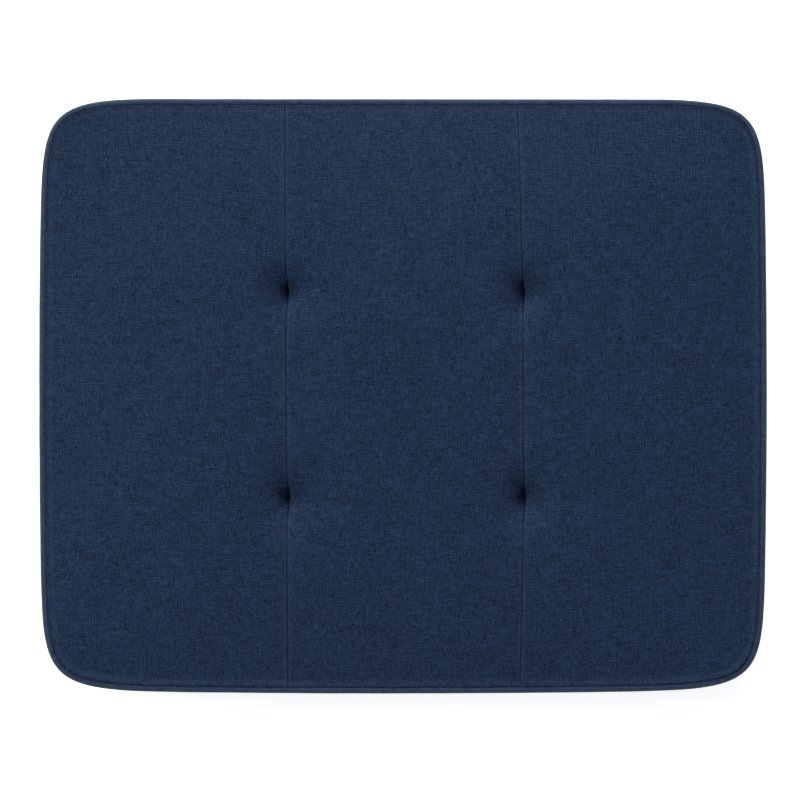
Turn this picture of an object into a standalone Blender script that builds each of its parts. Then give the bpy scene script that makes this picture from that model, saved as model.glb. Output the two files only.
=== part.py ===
"""Boxed seat cushion: a piped, woven cover with a zip, round a foam core held by four tufts.

Metres, +Z up. The origin is the middle of the flat underside. The front edge faces -Y and the
zip is in the back edge, at +Y.
"""

import math

import bmesh
import bpy
from mathutils import Matrix, Vector

# ------------------------------------------------------------------ overall form
WIDTH = 0.559  # left to right over the piping
DEPTH = 0.457  # front to back over the piping
THICKNESS = 0.100  # underside to the top of the crown
CROWN = 0.015  # rise of the top from its edge seam to its middle
CORNER_POWER = 12  # power of the superellipse, which sets how round the corners are
SIDE_BOW = 0.003  # bulge of each side edge
FRONT_BOW = 0.003  # bulge of the front edge
CORNER_STEPS = 9  # straight lengths that draw each corner

# ------------------------------------------------------------------ cover
FABRIC = 0.0012  # thickness of the woven fabric and its backing
SEAM_X = 0.0915  # distance of each top seam from the middle
SEAM_VALLEY = 0.002  # how far a top seam sinks between its tufts
SEAM_REACH = 0.006  # distance over which that valley fades
WELT_RADIUS = 0.0028  # outside radius of the piping
WELT_WALL = 0.0008  # fabric wall of the piping
WELT_SIDES = 9  # sides of the round piping
WELT_SLIT = math.radians(9)  # half the slit where the piping strip's two edges meet
BOXING_INSET = 0.0016  # from the outermost line in to the middle of the boxing

# ------------------------------------------------------------------ filling
CLEARANCE = 0.0003  # gap between two pieces that touch
FOAM_LIFT = 0.0004  # foam's lower face above the lower edge of the boxing
FOAM_DROP = 0.013  # foam's upper face below the top's edge seam
FOAM_GAP = 0.0005  # foam to boxing
WRAP_GAP = 0.0004  # fibre to piping

# ------------------------------------------------------------------ tufts
TUFT_Y = 0.0787  # distance of each tuft row from the middle
TUFT_DEPTH = 0.0165  # how far a tuft pulls the top down
TUFT_REACH = 0.012  # distance over which a tuft's dimple fades
TWINE_RADIUS = 0.0006
TWINE_SPAN = 0.006  # between the two legs of a twine loop
TWINE_BEND = 0.0015  # radius of the loop's corners
TWINE_BEND_STEPS = 3
TWINE_HOLE_RADIUS = 0.0010
ANCHOR_RADIUS = 0.011
ANCHOR_THICKNESS = 0.0024
ANCHOR_HEIGHT = 0.0110  # underside of each anchor button above the cushion's underside
ANCHOR_POCKET_GAP = 0.0005  # anchor rim to foam

# ------------------------------------------------------------------ zip
ZIP_LENGTH = 0.400  # length of the opening between the boxing's two ends
ZIP_WINDOW = 0.0120  # height of the gap between the two turned edges
ZIP_SEAM_GAP = 0.0005  # between each end of the boxing and the zip strips
HEM_WIDTH = 0.008  # fabric turned back behind each edge of the gap
HEM_DEPTH = 0.0045  # from the outermost line in to the middle of the turned layer
TAPE_WIDTH = 0.0130
TAPE_THICKNESS = 0.0005
TAPE_DEPTH = 0.0059  # from the outermost line in to the tape
TAPE_EDGE = 0.0012  # from the zip's centre line to a tape's edge
TAPE_END_GAP = 0.001  # short of the opening's end
COIL_HEIGHT = 0.0023
COIL_THICKNESS = 0.0014
COIL_EDGE = 0.0007  # from the zip's centre line to a coil's edge
COIL_START = 0.006  # from the opening's end to the chain
STOP_LENGTH = 0.003
STOP_OVERHANG = 0.0004  # a stop's extra height past the coil it closes

# ------------------------------------------------------------------ slider and pull tab
SLIDER_LENGTH = 0.011
SLIDER_HEIGHT = 0.0096
SLIDER_PLATE = 0.0008
SLIDER_RUN_GAP = 0.0004  # plates to the chain and tape
SLIDER_BEVEL = 0.00025
SLIDER_STOP_GAP = 0.0005
NECK_LENGTH = 0.003
NECK_THICKNESS = 0.0008
LUG_LENGTH = 0.0050
LUG_HEIGHT = 0.0023
LUG_THICKNESS = 0.0016
LUG_EYE_LENGTH = 0.0026
LUG_EYE_HEIGHT = 0.0017
TAB_LENGTH = 0.024
TAB_WIDTH = 0.006
TAB_THICKNESS = 0.0008
TAB_EYE_LENGTH = 0.0032
TAB_EYE_WIDTH = 0.0024
TAB_GRIP_LENGTH = 0.008
TAB_GRIP_WIDTH = 0.0026
TAB_GRIP_INSET = 0.003  # tab's free end to its slot
TAB_ROUND_STEPS = 8

# ------------------------------------------------------------------ mesh spacing of the top
NEAR_LINES = (0.005, 0.014, 0.032)  # extra lines beside a seam or a tuft row
EDGE_LINES = (0.012, 0.032)  # extra lines inside the edge
LONGEST_CELL = 0.042
OVERSIZE = 0.010  # how far the uncut top surface runs past its outline

# ------------------------------------------------------------------ derived places
PANEL_INSET = 2 * WELT_RADIUS + CLEARANCE
EDGE_HEIGHT = THICKNESS - CROWN
TOP_WELT_Z = EDGE_HEIGHT - FABRIC - CLEARANCE
BOTTOM_WELT_Z = FABRIC + CLEARANCE + WELT_RADIUS
BOXING_LOW = BOTTOM_WELT_Z + WELT_RADIUS + CLEARANCE
BOXING_HIGH = TOP_WELT_Z - WELT_RADIUS - CLEARANCE
WRAP_LOW = FABRIC + CLEARANCE
FOAM_LOW = BOXING_LOW + FOAM_LIFT
FOAM_TOP = EDGE_HEIGHT - FOAM_DROP
FOAM_INSET = BOXING_INSET + FABRIC / 2 + FOAM_GAP
WRAP_INSET = 2 * WELT_RADIUS + WRAP_GAP
HALF_X = WIDTH / 2 - SIDE_BOW
HALF_Y = (DEPTH - FRONT_BOW) / 2
MIDDLE_Y = FRONT_BOW / 2
ZIP_ANGLE = math.acos((ZIP_LENGTH / 2 / HALF_X) ** (CORNER_POWER / 2))
ZIP_Z = (BOXING_LOW + BOXING_HIGH) / 2
TUFTS = {
    "front_left": (-SEAM_X, -TUFT_Y),
    "front_right": (SEAM_X, -TUFT_Y),
    "back_left": (-SEAM_X, TUFT_Y),
    "back_right": (SEAM_X, TUFT_Y),
}

PARTS = bpy.data.collections.new("seat_cushion")
CUTTERS = bpy.data.collections.new("seat_cushion_cutters")


# ------------------------------------------------------------------ scene and materials
def clear_scene():
    """Empty the scene and link the two collections to it."""
    for old in list(bpy.data.objects):
        bpy.data.objects.remove(old, do_unlink=True)
    bpy.context.scene.collection.children.link(PARTS)
    bpy.context.scene.collection.children.link(CUTTERS)


def make_material(name, colour, roughness, metallic=0.0):
    """A Principled material in one linear colour."""
    material = bpy.data.materials.new(name)
    material.use_nodes = True
    shader = material.node_tree.nodes["Principled BSDF"]
    shader.inputs["Base Color"].default_value = (*colour, 1.0)
    shader.inputs["Roughness"].default_value = roughness
    shader.inputs["Metallic"].default_value = metallic
    return material


def add_part(name, data, material, place=(0, 0, 0)):
    """Link a mesh or curve as one named piece."""
    part = bpy.data.objects.new(name, data)
    part.location = place
    part.data.materials.clear()
    part.data.materials.append(material)
    PARTS.objects.link(part)
    return part


def as_cutter(tool):
    """Hide a cutting or guiding shape and keep it apart from the pieces."""
    for collection in list(tool.users_collection):
        collection.objects.unlink(tool)
    CUTTERS.objects.link(tool)
    tool.hide_render = True
    tool.display_type = "WIRE"
    return tool


def boolean(part, tool, operation="DIFFERENCE"):
    """Cut, join or trim a piece with another closed shape."""
    step = part.modifiers.new(operation.lower() + "_" + tool.name, "BOOLEAN")
    step.operation = operation
    step.object = tool
    return part


# ------------------------------------------------------------------ outline
def outline_point(angle):
    """A point of the cushion's outermost line: a superellipse with bowed sides and front."""
    power = 2 / CORNER_POWER
    across = math.copysign(abs(math.cos(angle)) ** power, math.cos(angle))
    along = math.copysign(abs(math.sin(angle)) ** power, math.sin(angle))
    x = across * (HALF_X + SIDE_BOW * (1 - along**2))
    y = along * HALF_Y
    if along < 0:
        y += along * FRONT_BOW * (1 - across**2)
    return Vector((x, y + MIDDLE_Y))


def outline_angles():
    """Angles round the outline, close together in the corners, starting at the zip's end."""
    quarter = [ZIP_ANGLE * step / CORNER_STEPS for step in range(CORNER_STEPS + 1)]
    right_side = list(reversed(quarter)) + [-angle for angle in quarter[1:]]
    left_side = [math.pi + angle for angle in reversed(right_side)]
    return right_side + [-math.pi / 2] + [angle - 2 * math.pi for angle in reversed(left_side)]


def outline(inset, corners=None):
    """The outermost line moved in by an even distance."""
    corners = corners or [outline_point(angle) for angle in outline_angles()]
    points = []
    for index, point in enumerate(corners):
        ahead = (corners[(index + 1) % len(corners)] - point).normalized()
        behind = (point - corners[index - 1]).normalized()
        inward = Vector((ahead.y + behind.y, -ahead.x - behind.x)).normalized()
        spread = inward.dot(Vector((ahead.y, -ahead.x)))
        points.append(point + inward * inset / spread)
    return points


def curve_data(name, points, cyclic=True, flat=False):
    """A curve of straight lengths through the given points."""
    data = bpy.data.curves.new(name, "CURVE")
    data.dimensions = "2D" if flat else "3D"
    spline = data.splines.new("POLY")
    spline.points.add(len(points) - 1)
    for knot, point in zip(spline.points, points):
        knot.co = (*point, *(0,) * (3 - len(point)), 1)
    spline.use_cyclic_u = cyclic
    return data


def curve_to_mesh(name, data, place=(0, 0, 0)):
    """A welded mesh from a curve, so that it can be cut."""
    curve = bpy.data.objects.new(name, data)
    curve.location = place
    PARTS.objects.link(curve)
    graph = bpy.context.evaluated_depsgraph_get()
    mesh = bpy.data.meshes.new_from_object(curve.evaluated_get(graph))
    mesh.transform(Matrix.Translation(place))
    bpy.data.objects.remove(curve)
    bpy.data.curves.remove(data)
    shape = bmesh.new()
    shape.from_mesh(mesh)
    bmesh.ops.remove_doubles(shape, verts=shape.verts, dist=1e-6)
    shape.to_mesh(mesh)
    shape.free()
    mesh.name = name
    return mesh


def prism(name, points, low, high):
    """A flat outline given a height."""
    data = curve_data(name, points, flat=True)
    data.fill_mode = "BOTH"
    data.extrude = (high - low) / 2
    return curve_to_mesh(name, data, (0, 0, (high + low) / 2))


def box(name, low, high):
    """A block between two opposite corners."""
    low, high = Vector(low), Vector(high)
    shape = bmesh.new()
    bmesh.ops.create_cube(shape, size=1)
    bmesh.ops.scale(shape, vec=high - low, verts=shape.verts)
    bmesh.ops.translate(shape, vec=(high + low) / 2, verts=shape.verts)
    mesh = bpy.data.meshes.new(name)
    shape.to_mesh(mesh)
    shape.free()
    return mesh


def cylinders(name, centres, radius, low, high, sides):
    """Upright round posts, all in one mesh."""
    shape = bmesh.new()
    for x, y in centres:
        bmesh.ops.create_cone(
            shape,
            cap_ends=True,
            segments=sides,
            radius1=radius,
            radius2=radius,
            depth=high - low,
            matrix=Matrix.Translation((x, y, (low + high) / 2)),
        )
    mesh = bpy.data.meshes.new(name)
    shape.to_mesh(mesh)
    shape.free()
    mesh.shade_smooth()
    mesh.set_sharp_from_angle(angle=math.radians(40))
    return mesh


def shaped_grid(columns, rows, place):
    """A grid whose corner (column, row) is moved to place(column, row)."""
    shape = bmesh.new()
    bmesh.ops.create_grid(shape, x_segments=columns, y_segments=rows, size=0.5)
    for corner in shape.verts:
        column = round((corner.co.x + 0.5) * columns)
        row = round((corner.co.y + 0.5) * rows)
        corner.co = place(column, row)
    return shape


# ------------------------------------------------------------------ top surface
def top_height(x, y):
    """Height of the cover's upper face: a crown, two seam valleys and four tufts."""
    across = min(abs(x) / (WIDTH / 2 - PANEL_INSET), 1)
    along = min(abs(y) / (DEPTH / 2 - PANEL_INSET), 1)
    height = EDGE_HEIGHT + CROWN * (1 - across**4) * (1 - along**4)
    fade = (1 - along**4) * math.exp(-abs(abs(x) - SEAM_X) / SEAM_REACH)
    height -= SEAM_VALLEY * fade
    for tuft_x, tuft_y in TUFTS.values():
        height -= TUFT_DEPTH * math.exp(-math.hypot(x - tuft_x, y - tuft_y) / TUFT_REACH)
    return height


def grid_lines(low, high, centres, edges):
    """Places of the top's mesh lines: close beside seams and tufts, wide apart elsewhere."""
    lines = {low, high}
    for centre in centres:
        for gap in (0, *NEAR_LINES):
            lines.update((centre - gap, centre + gap))
    for edge in edges:
        for gap in (0, *EDGE_LINES):
            lines.add(math.copysign(abs(edge) - gap, edge))
    kept = sorted(line for line in lines if low <= line <= high)
    spaced = [kept[0]]
    for line in kept[1:]:
        start = spaced[-1]
        steps = math.ceil((line - start) / LONGEST_CELL)
        spaced += [start + (line - start) * step / steps for step in range(1, steps + 1)]
    return spaced


def top_layer(name, low_x, high_x, drop, floor):
    """A layer under the top surface; floor(z) gives its lower face from its upper one."""
    edge_x = WIDTH / 2 - PANEL_INSET
    edge_y = DEPTH / 2 - PANEL_INSET
    reach_y = DEPTH / 2 + OVERSIZE
    columns = grid_lines(low_x, high_x, (-SEAM_X, SEAM_X), (-edge_x, edge_x))
    rows = grid_lines(-reach_y, reach_y, (-TUFT_Y, TUFT_Y), (-edge_y, edge_y))

    def place(column, row):
        x, y = columns[column], rows[row]
        return x, y, top_height(x, y) - drop

    shape = shaped_grid(len(columns) - 1, len(rows) - 1, place)
    bmesh.ops.triangulate(shape, faces=shape.faces, quad_method="FIXED")
    made = bmesh.ops.extrude_face_region(shape, geom=list(shape.faces), use_keep_orig=True)
    for corner in [item for item in made["geom"] if isinstance(item, bmesh.types.BMVert)]:
        corner.co.z = floor(corner.co.z)
    bmesh.ops.recalc_face_normals(shape, faces=shape.faces)
    mesh = bpy.data.meshes.new(name)
    shape.to_mesh(mesh)
    shape.free()
    return mesh


# ------------------------------------------------------------------ cutters
def make_cutters():
    """The shapes that trim and pierce the soft layers."""
    legs = [
        (x, y + side * TWINE_SPAN / 2) for x, y in TUFTS.values() for side in (-1, 1)
    ]
    shapes = {
        "twine_holes": cylinders(
            "twine_holes", legs, TWINE_HOLE_RADIUS, ANCHOR_HEIGHT / 2 + FOAM_LOW / 2,
            THICKNESS + OVERSIZE, 8
        ),
        "anchor_pockets": cylinders(
            "anchor_pockets", TUFTS.values(), ANCHOR_RADIUS + ANCHOR_POCKET_GAP, WRAP_LOW,
            ANCHOR_HEIGHT + ANCHOR_THICKNESS + CLEARANCE, 24
        ),
        "panel_outline": prism("panel_outline", outline(PANEL_INSET), 0, THICKNESS + OVERSIZE),
        "wrap_outline": prism("wrap_outline", outline(WRAP_INSET), 0, THICKNESS + OVERSIZE),
    }
    return {name: as_cutter(loose(name, mesh)) for name, mesh in shapes.items()}


def loose(name, mesh):
    """An object that isn't a piece."""
    tool = bpy.data.objects.new(name, mesh)
    PARTS.objects.link(tool)
    return tool


# ------------------------------------------------------------------ cover pieces
def make_top_panels(cutters, fabric):
    """Three panels, side by side across the top."""
    reach = WIDTH / 2 + OVERSIZE
    half_gap = CLEARANCE / 2
    spans = {
        "top_panel_left": (-reach, -SEAM_X - half_gap),
        "top_panel_centre": (-SEAM_X + half_gap, SEAM_X - half_gap),
        "top_panel_right": (SEAM_X + half_gap, reach),
    }
    for name, (low, high) in spans.items():
        mesh = top_layer(name, low, high, 0, lambda z: z - FABRIC)
        panel = add_part(name, mesh, fabric)
        boolean(panel, cutters["panel_outline"], "INTERSECT")
        boolean(panel, cutters["twine_holes"])


def make_bottom_panel(fabric):
    """One flat panel across the underside."""
    mesh = prism("bottom_panel", outline(WELT_RADIUS), 0, FABRIC)
    add_part("bottom_panel", mesh, fabric)


def make_welt(level, height, fabric, cord_material):
    """Piping: a round cord in a strip of fabric whose edges meet on the inner side."""
    path = [(*point, height) for point in outline(WELT_RADIUS)]
    turns = [
        WELT_SLIT + (2 * math.pi - 2 * WELT_SLIT) * step / WELT_SIDES
        for step in range(WELT_SIDES + 1)
    ]
    inner = WELT_RADIUS - WELT_WALL
    section = [(inner * math.cos(turn), inner * math.sin(turn)) for turn in turns]
    section += [
        (WELT_RADIUS * math.cos(turn), WELT_RADIUS * math.sin(turn)) for turn in reversed(turns)
    ]
    profile = as_cutter(loose(f"{level}_welt_section", curve_data("section", section)))
    cover = curve_data(f"{level}_welt_cover", path)
    cover.twist_mode = "Z_UP"
    cover.bevel_mode = "OBJECT"
    cover.bevel_object = profile
    add_part(f"{level}_welt_cover", cover, fabric)
    cord = curve_data(f"{level}_welt_cord", path)
    cord.bevel_depth = inner - CLEARANCE
    cord.bevel_resolution = 1
    add_part(f"{level}_welt_cord", cord, cord_material)


def sewn_strip(name, path, section, fabric):
    """A strip of fabric along a path; each place of its section is (inset, height)."""

    def place(column, row):
        inset, height = section[row]
        return *path(inset)[column], height

    shape = shaped_grid(len(path(0)) - 1, len(section) - 1, place)
    mesh = bpy.data.meshes.new(name)
    shape.to_mesh(mesh)
    shape.free()
    strip = add_part(name, mesh, fabric)
    wall = strip.modifiers.new("fabric", "SOLIDIFY")
    wall.thickness = FABRIC
    wall.offset = 0
    wall.use_even_offset = True


def make_boxing(fabric):
    """The upright band round the front and sides, and the two zip strips at the back."""
    end_x = outline_point(ZIP_ANGLE).x

    def band(inset):
        points = outline(inset)
        points[0].x = end_x
        points[-1].x = -end_x
        return points

    section = [(BOXING_INSET, BOXING_LOW), (BOXING_INSET, BOXING_HIGH)]
    sewn_strip("boxing_band", band, section, fabric)
    strip_x = end_x - ZIP_SEAM_GAP

    def straight(inset):
        y = back_line() - inset
        return [Vector((-strip_x, y)), Vector((strip_x, y))]

    for name, outer, side in (
        ("zip_placket_upper", BOXING_HIGH, 1),
        ("zip_placket_lower", BOXING_LOW, -1),
    ):
        fold = ZIP_Z + side * (ZIP_WINDOW + FABRIC) / 2
        section = [
            (BOXING_INSET, outer),
            (BOXING_INSET, fold),
            (HEM_DEPTH, fold),
            (HEM_DEPTH, fold + side * HEM_WIDTH),
        ]
        sewn_strip(name, straight, section, fabric)


def back_line():
    """The outermost line's y where the zip strips meet the boxing band."""
    return outline_point(ZIP_ANGLE).y


# ------------------------------------------------------------------ filling and tufts
def make_filling(cutters, foam_material, fibre_material):
    """Foam core between two layers of polyester fibre."""
    fibre_low = FOAM_TOP + CLEARANCE
    mesh = top_layer(
        "fibre_wrap_top", -WIDTH / 2 - OVERSIZE, WIDTH / 2 + OVERSIZE, FABRIC + CLEARANCE,
        lambda z: fibre_low
    )
    wrap = add_part("fibre_wrap_top", mesh, fibre_material)
    boolean(wrap, cutters["wrap_outline"], "INTERSECT")
    boolean(wrap, cutters["twine_holes"])

    mesh = prism("fibre_wrap_bottom", outline(WRAP_INSET), WRAP_LOW, FOAM_LOW - CLEARANCE)
    add_part("fibre_wrap_bottom", mesh, fibre_material)

    foam = add_part(
        "foam_core", prism("foam_core", outline(FOAM_INSET), FOAM_LOW, FOAM_TOP), foam_material
    )
    groove_y = back_line() - slider_depths()["back_inner"] - FOAM_GAP
    groove = box(
        "zip_groove",
        (-ZIP_LENGTH, groove_y, ZIP_Z - ZIP_WINDOW - HEM_WIDTH),
        (ZIP_LENGTH, DEPTH, ZIP_Z + ZIP_WINDOW + HEM_WIDTH),
    )
    boolean(foam, as_cutter(loose("zip_groove", groove)))
    boolean(foam, cutters["twine_holes"])
    boolean(foam, cutters["anchor_pockets"])


def make_tufts(cutters, twine_material, anchor_material):
    """A loop of twine over each tuft, drawn down to a flat two-hole button under the foam."""
    low = ANCHOR_HEIGHT - CLEARANCE - TWINE_RADIUS
    for name, (x, y) in TUFTS.items():
        top = max(top_height(x, y - TWINE_SPAN / 2), top_height(x, y + TWINE_SPAN / 2))
        high = top + CLEARANCE + TWINE_RADIUS
        loop = curve_data(f"tuft_twine_{name}", rounded_loop(TWINE_SPAN, low, high, TWINE_BEND))
        loop.bevel_depth = TWINE_RADIUS
        loop.bevel_resolution = 1
        add_part(f"tuft_twine_{name}", loop, twine_material, (x, y, 0))
        disc = cylinders(
            f"tuft_anchor_{name}", [(x, y)], ANCHOR_RADIUS, ANCHOR_HEIGHT,
            ANCHOR_HEIGHT + ANCHOR_THICKNESS, 24
        )
        anchor = add_part(f"tuft_anchor_{name}", disc, anchor_material)
        boolean(anchor, cutters["twine_holes"])


def rounded_loop(span, low, high, bend):
    """An upright rectangle in the YZ plane with rounded corners."""
    points = []
    for quarter, (y, z) in enumerate(
        [(span / 2 - bend, high - bend), (bend - span / 2, high - bend),
         (bend - span / 2, low + bend), (span / 2 - bend, low + bend)]
    ):
        for step in range(TWINE_BEND_STEPS + 1):
            turn = (quarter + step / TWINE_BEND_STEPS) * math.pi / 2
            points.append((0, y + bend * math.cos(turn), z + bend * math.sin(turn)))
    return points


# ------------------------------------------------------------------ zip
def slider_depths():
    """Distances in from the back line to the faces of the slider's two plates."""
    coil_outer = TAPE_DEPTH - CLEARANCE - COIL_THICKNESS
    front_inner = coil_outer - SLIDER_RUN_GAP
    back_outer = TAPE_DEPTH + TAPE_THICKNESS + SLIDER_RUN_GAP
    return {
        "coil_outer": coil_outer,
        "front_inner": front_inner,
        "front_outer": front_inner - SLIDER_PLATE,
        "back_outer": back_outer,
        "back_inner": back_outer + SLIDER_PLATE,
    }


def chain_ends():
    """The chain's first and last x: the tail past the lower stop leaves room for the tab."""
    start = -ZIP_LENGTH / 2 + COIL_START
    end = ZIP_LENGTH / 2 - COIL_START - TAB_LENGTH
    return start, end


def make_zip(tape_material, coil_material, metal):
    """Two tapes, the coil along each, and the stops that end the slider's travel."""
    y = back_line()
    coil_outer = slider_depths()["coil_outer"]
    tape_x = ZIP_LENGTH / 2 - TAPE_END_GAP
    start, end = chain_ends()
    stop_edge = COIL_EDGE + COIL_HEIGHT + STOP_OVERHANG
    for name, side in (("upper", 1), ("lower", -1)):
        edges = sorted((ZIP_Z + side * TAPE_EDGE, ZIP_Z + side * (TAPE_EDGE + TAPE_WIDTH)))
        tape = box(
            f"zip_tape_{name}",
            (-tape_x, y - TAPE_DEPTH - TAPE_THICKNESS, edges[0]),
            (tape_x, y - TAPE_DEPTH, edges[1]),
        )
        add_part(f"zip_tape_{name}", tape, tape_material)
        edges = sorted((ZIP_Z + side * COIL_EDGE, ZIP_Z + side * (COIL_EDGE + COIL_HEIGHT)))
        coil = box(
            f"zip_coil_{name}",
            (start, y - coil_outer - COIL_THICKNESS, edges[0]),
            (end, y - coil_outer, edges[1]),
        )
        add_part(f"zip_coil_{name}", coil, coil_material)
        edges = sorted((ZIP_Z + side * COIL_EDGE, ZIP_Z + side * stop_edge))
        stop = box(
            f"zip_top_stop_{name}",
            (start - CLEARANCE - STOP_LENGTH, y - coil_outer - COIL_THICKNESS, edges[0]),
            (start - CLEARANCE, y - coil_outer, edges[1]),
        )
        add_part(f"zip_top_stop_{name}", stop, metal)
    stop = box(
        "zip_bottom_stop",
        (end + CLEARANCE, y - coil_outer - COIL_THICKNESS, ZIP_Z - stop_edge),
        (end + CLEARANCE + STOP_LENGTH, y - coil_outer, ZIP_Z + stop_edge),
    )
    add_part("zip_bottom_stop", stop, metal)


def slider_place():
    """The middle of the slider in the closed zip, on its pull tab's hinge line."""
    depths = slider_depths()
    x = chain_ends()[0] + SLIDER_STOP_GAP + SLIDER_LENGTH / 2
    return Vector((x, back_line() - depths["front_outer"] + LUG_EYE_HEIGHT / 2, ZIP_Z))


def make_slider(metal):
    """Two plates joined by a neck between the coils, with a lug for the pull tab."""
    depths = slider_depths()
    place = slider_place()
    surface = back_line() - place.y
    half = SLIDER_LENGTH / 2
    blocks = {
        "slider_front": (
            (-half, surface - depths["front_inner"], -SLIDER_HEIGHT / 2),
            (half, surface - depths["front_outer"], SLIDER_HEIGHT / 2),
        ),
        "slider_back": (
            (-half, surface - depths["back_inner"], -SLIDER_HEIGHT / 2),
            (half, surface - depths["back_outer"], SLIDER_HEIGHT / 2),
        ),
        "slider_neck": (
            (-NECK_LENGTH / 2, surface - depths["back_outer"] - SLIDER_PLATE / 2,
             -NECK_THICKNESS / 2),
            (NECK_LENGTH / 2, surface - depths["front_outer"] - SLIDER_PLATE / 2,
             NECK_THICKNESS / 2),
        ),
        "slider_lug": (
            (-LUG_LENGTH / 2, surface - depths["front_outer"] - SLIDER_PLATE / 2,
             -LUG_THICKNESS / 2),
            (LUG_LENGTH / 2, surface - depths["front_outer"] + LUG_HEIGHT, LUG_THICKNESS / 2),
        ),
        "slider_eye": (
            (-LUG_EYE_LENGTH / 2, -LUG_EYE_HEIGHT / 2, -LUG_THICKNESS),
            (LUG_EYE_LENGTH / 2, LUG_EYE_HEIGHT / 2, LUG_THICKNESS),
        ),
    }
    slider = add_part("zip_slider", box("zip_slider", *blocks["slider_front"]), metal, place)
    round_edges(slider)
    for name in ("slider_back", "slider_neck", "slider_lug", "slider_eye"):
        tool = as_cutter(loose(name, box(name, *blocks[name])))
        tool.location = place
        if name == "slider_back":
            round_edges(tool)
        boolean(slider, tool, "DIFFERENCE" if name == "slider_eye" else "UNION")


def round_edges(part):
    """Take the sharpness off a plate."""
    bevel = part.modifiers.new("edges", "BEVEL")
    bevel.width = SLIDER_BEVEL
    bevel.segments = 1


def make_pull_tab(metal):
    """A flat tab with a round free end; its cross bar turns in the slider's lug."""
    place = slider_place()
    start = -TAB_THICKNESS / 2
    radius = TAB_WIDTH / 2
    centre = start + TAB_LENGTH - radius
    points = [(start, -radius)]
    for step in range(TAB_ROUND_STEPS + 1):
        turn = math.pi * (step / TAB_ROUND_STEPS - 0.5)
        points.append((centre + radius * math.cos(turn), radius * math.sin(turn)))
    points.append((start, radius))
    mesh = prism("zip_pull_tab", points, -TAB_THICKNESS / 2, TAB_THICKNESS / 2)
    mesh.transform(Matrix.Rotation(math.pi / 2, 4, "X"))
    tab = add_part("zip_pull_tab", mesh, metal, place)
    grip = start + TAB_LENGTH - TAB_GRIP_INSET
    slots = {
        "tab_eye": (-start, -start + TAB_EYE_LENGTH, TAB_EYE_WIDTH),
        "tab_grip": (grip - TAB_GRIP_LENGTH, grip, TAB_GRIP_WIDTH),
    }
    for name, (low, high, width) in slots.items():
        tool = as_cutter(
            loose(name, box(name, (low, -TAB_WIDTH, -width / 2), (high, TAB_WIDTH, width / 2)))
        )
        tool.location = place
        boolean(tab, tool)


# ------------------------------------------------------------------ assembly
def build():
    """Make every piece."""
    clear_scene()
    navy = make_material("navy_weave", (0.017, 0.031, 0.065), 0.95)
    foam_grey = make_material("foam", (0.75, 0.72, 0.62), 0.95)
    fibre_white = make_material("fibre", (0.85, 0.85, 0.83), 1.0)
    cord_white = make_material("cord", (0.80, 0.78, 0.72), 0.9)
    twine_navy = make_material("twine", (0.012, 0.020, 0.045), 0.7)
    nylon_black = make_material("nylon", (0.02, 0.02, 0.02), 0.45)
    tape_navy = make_material("tape", (0.014, 0.024, 0.052), 0.9)
    coil_navy = make_material("coil", (0.012, 0.020, 0.042), 0.4)
    zinc = make_material("zinc", (0.62, 0.61, 0.58), 0.35, 1.0)

    cutters = make_cutters()
    make_top_panels(cutters, navy)
    make_bottom_panel(navy)
    make_welt("top", TOP_WELT_Z, navy, cord_white)
    make_welt("bottom", BOTTOM_WELT_Z, navy, cord_white)
    make_boxing(navy)
    make_filling(cutters, foam_grey, fibre_white)
    make_tufts(cutters, twine_navy, nylon_black)
    make_zip(tape_navy, coil_navy, zinc)
    make_slider(zinc)
    make_pull_tab(zinc)


build()
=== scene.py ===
# %% [markdown]
# # A boxed seat cushion in navy woven cloth
# The cushion has a foam core in a sewn cover. The cover's top is three panels, its edges are
# piped, and four hidden tufts pull the two top seams down. A zip in the back edge opens it.
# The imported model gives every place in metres. The soft CAD solids are hidden here, and each
# is stood for by a fabric or filled piece with folds, threads and a nap.

# %% Load the fixed frame
import math

import bpy
import numpy as np
from mathutils import Matrix, Vector
from mathutils.kdtree import KDTree


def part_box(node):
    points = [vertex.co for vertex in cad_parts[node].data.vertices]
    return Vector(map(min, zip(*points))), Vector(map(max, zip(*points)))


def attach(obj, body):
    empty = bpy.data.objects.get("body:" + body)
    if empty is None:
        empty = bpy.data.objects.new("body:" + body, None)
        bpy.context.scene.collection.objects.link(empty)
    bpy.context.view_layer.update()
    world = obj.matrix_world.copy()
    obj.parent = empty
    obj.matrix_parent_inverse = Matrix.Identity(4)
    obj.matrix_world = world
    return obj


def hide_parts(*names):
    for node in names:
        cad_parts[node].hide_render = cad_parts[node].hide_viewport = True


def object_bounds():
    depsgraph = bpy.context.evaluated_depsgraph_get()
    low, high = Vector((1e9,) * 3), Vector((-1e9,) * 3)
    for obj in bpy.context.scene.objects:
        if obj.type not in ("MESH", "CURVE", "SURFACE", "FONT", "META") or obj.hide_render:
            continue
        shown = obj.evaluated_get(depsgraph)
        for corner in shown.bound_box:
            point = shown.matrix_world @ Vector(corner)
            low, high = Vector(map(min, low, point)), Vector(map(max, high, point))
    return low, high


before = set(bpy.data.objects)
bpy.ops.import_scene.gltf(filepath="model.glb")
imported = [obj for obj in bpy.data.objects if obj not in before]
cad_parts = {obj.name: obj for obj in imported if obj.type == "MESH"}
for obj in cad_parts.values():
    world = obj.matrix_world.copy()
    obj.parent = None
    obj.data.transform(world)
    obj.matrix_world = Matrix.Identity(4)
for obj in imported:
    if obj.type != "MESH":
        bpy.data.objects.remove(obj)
cad_low, cad_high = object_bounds()
print("CAD box in mm:", [round(1000 * side) for side in cad_high - cad_low])

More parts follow.
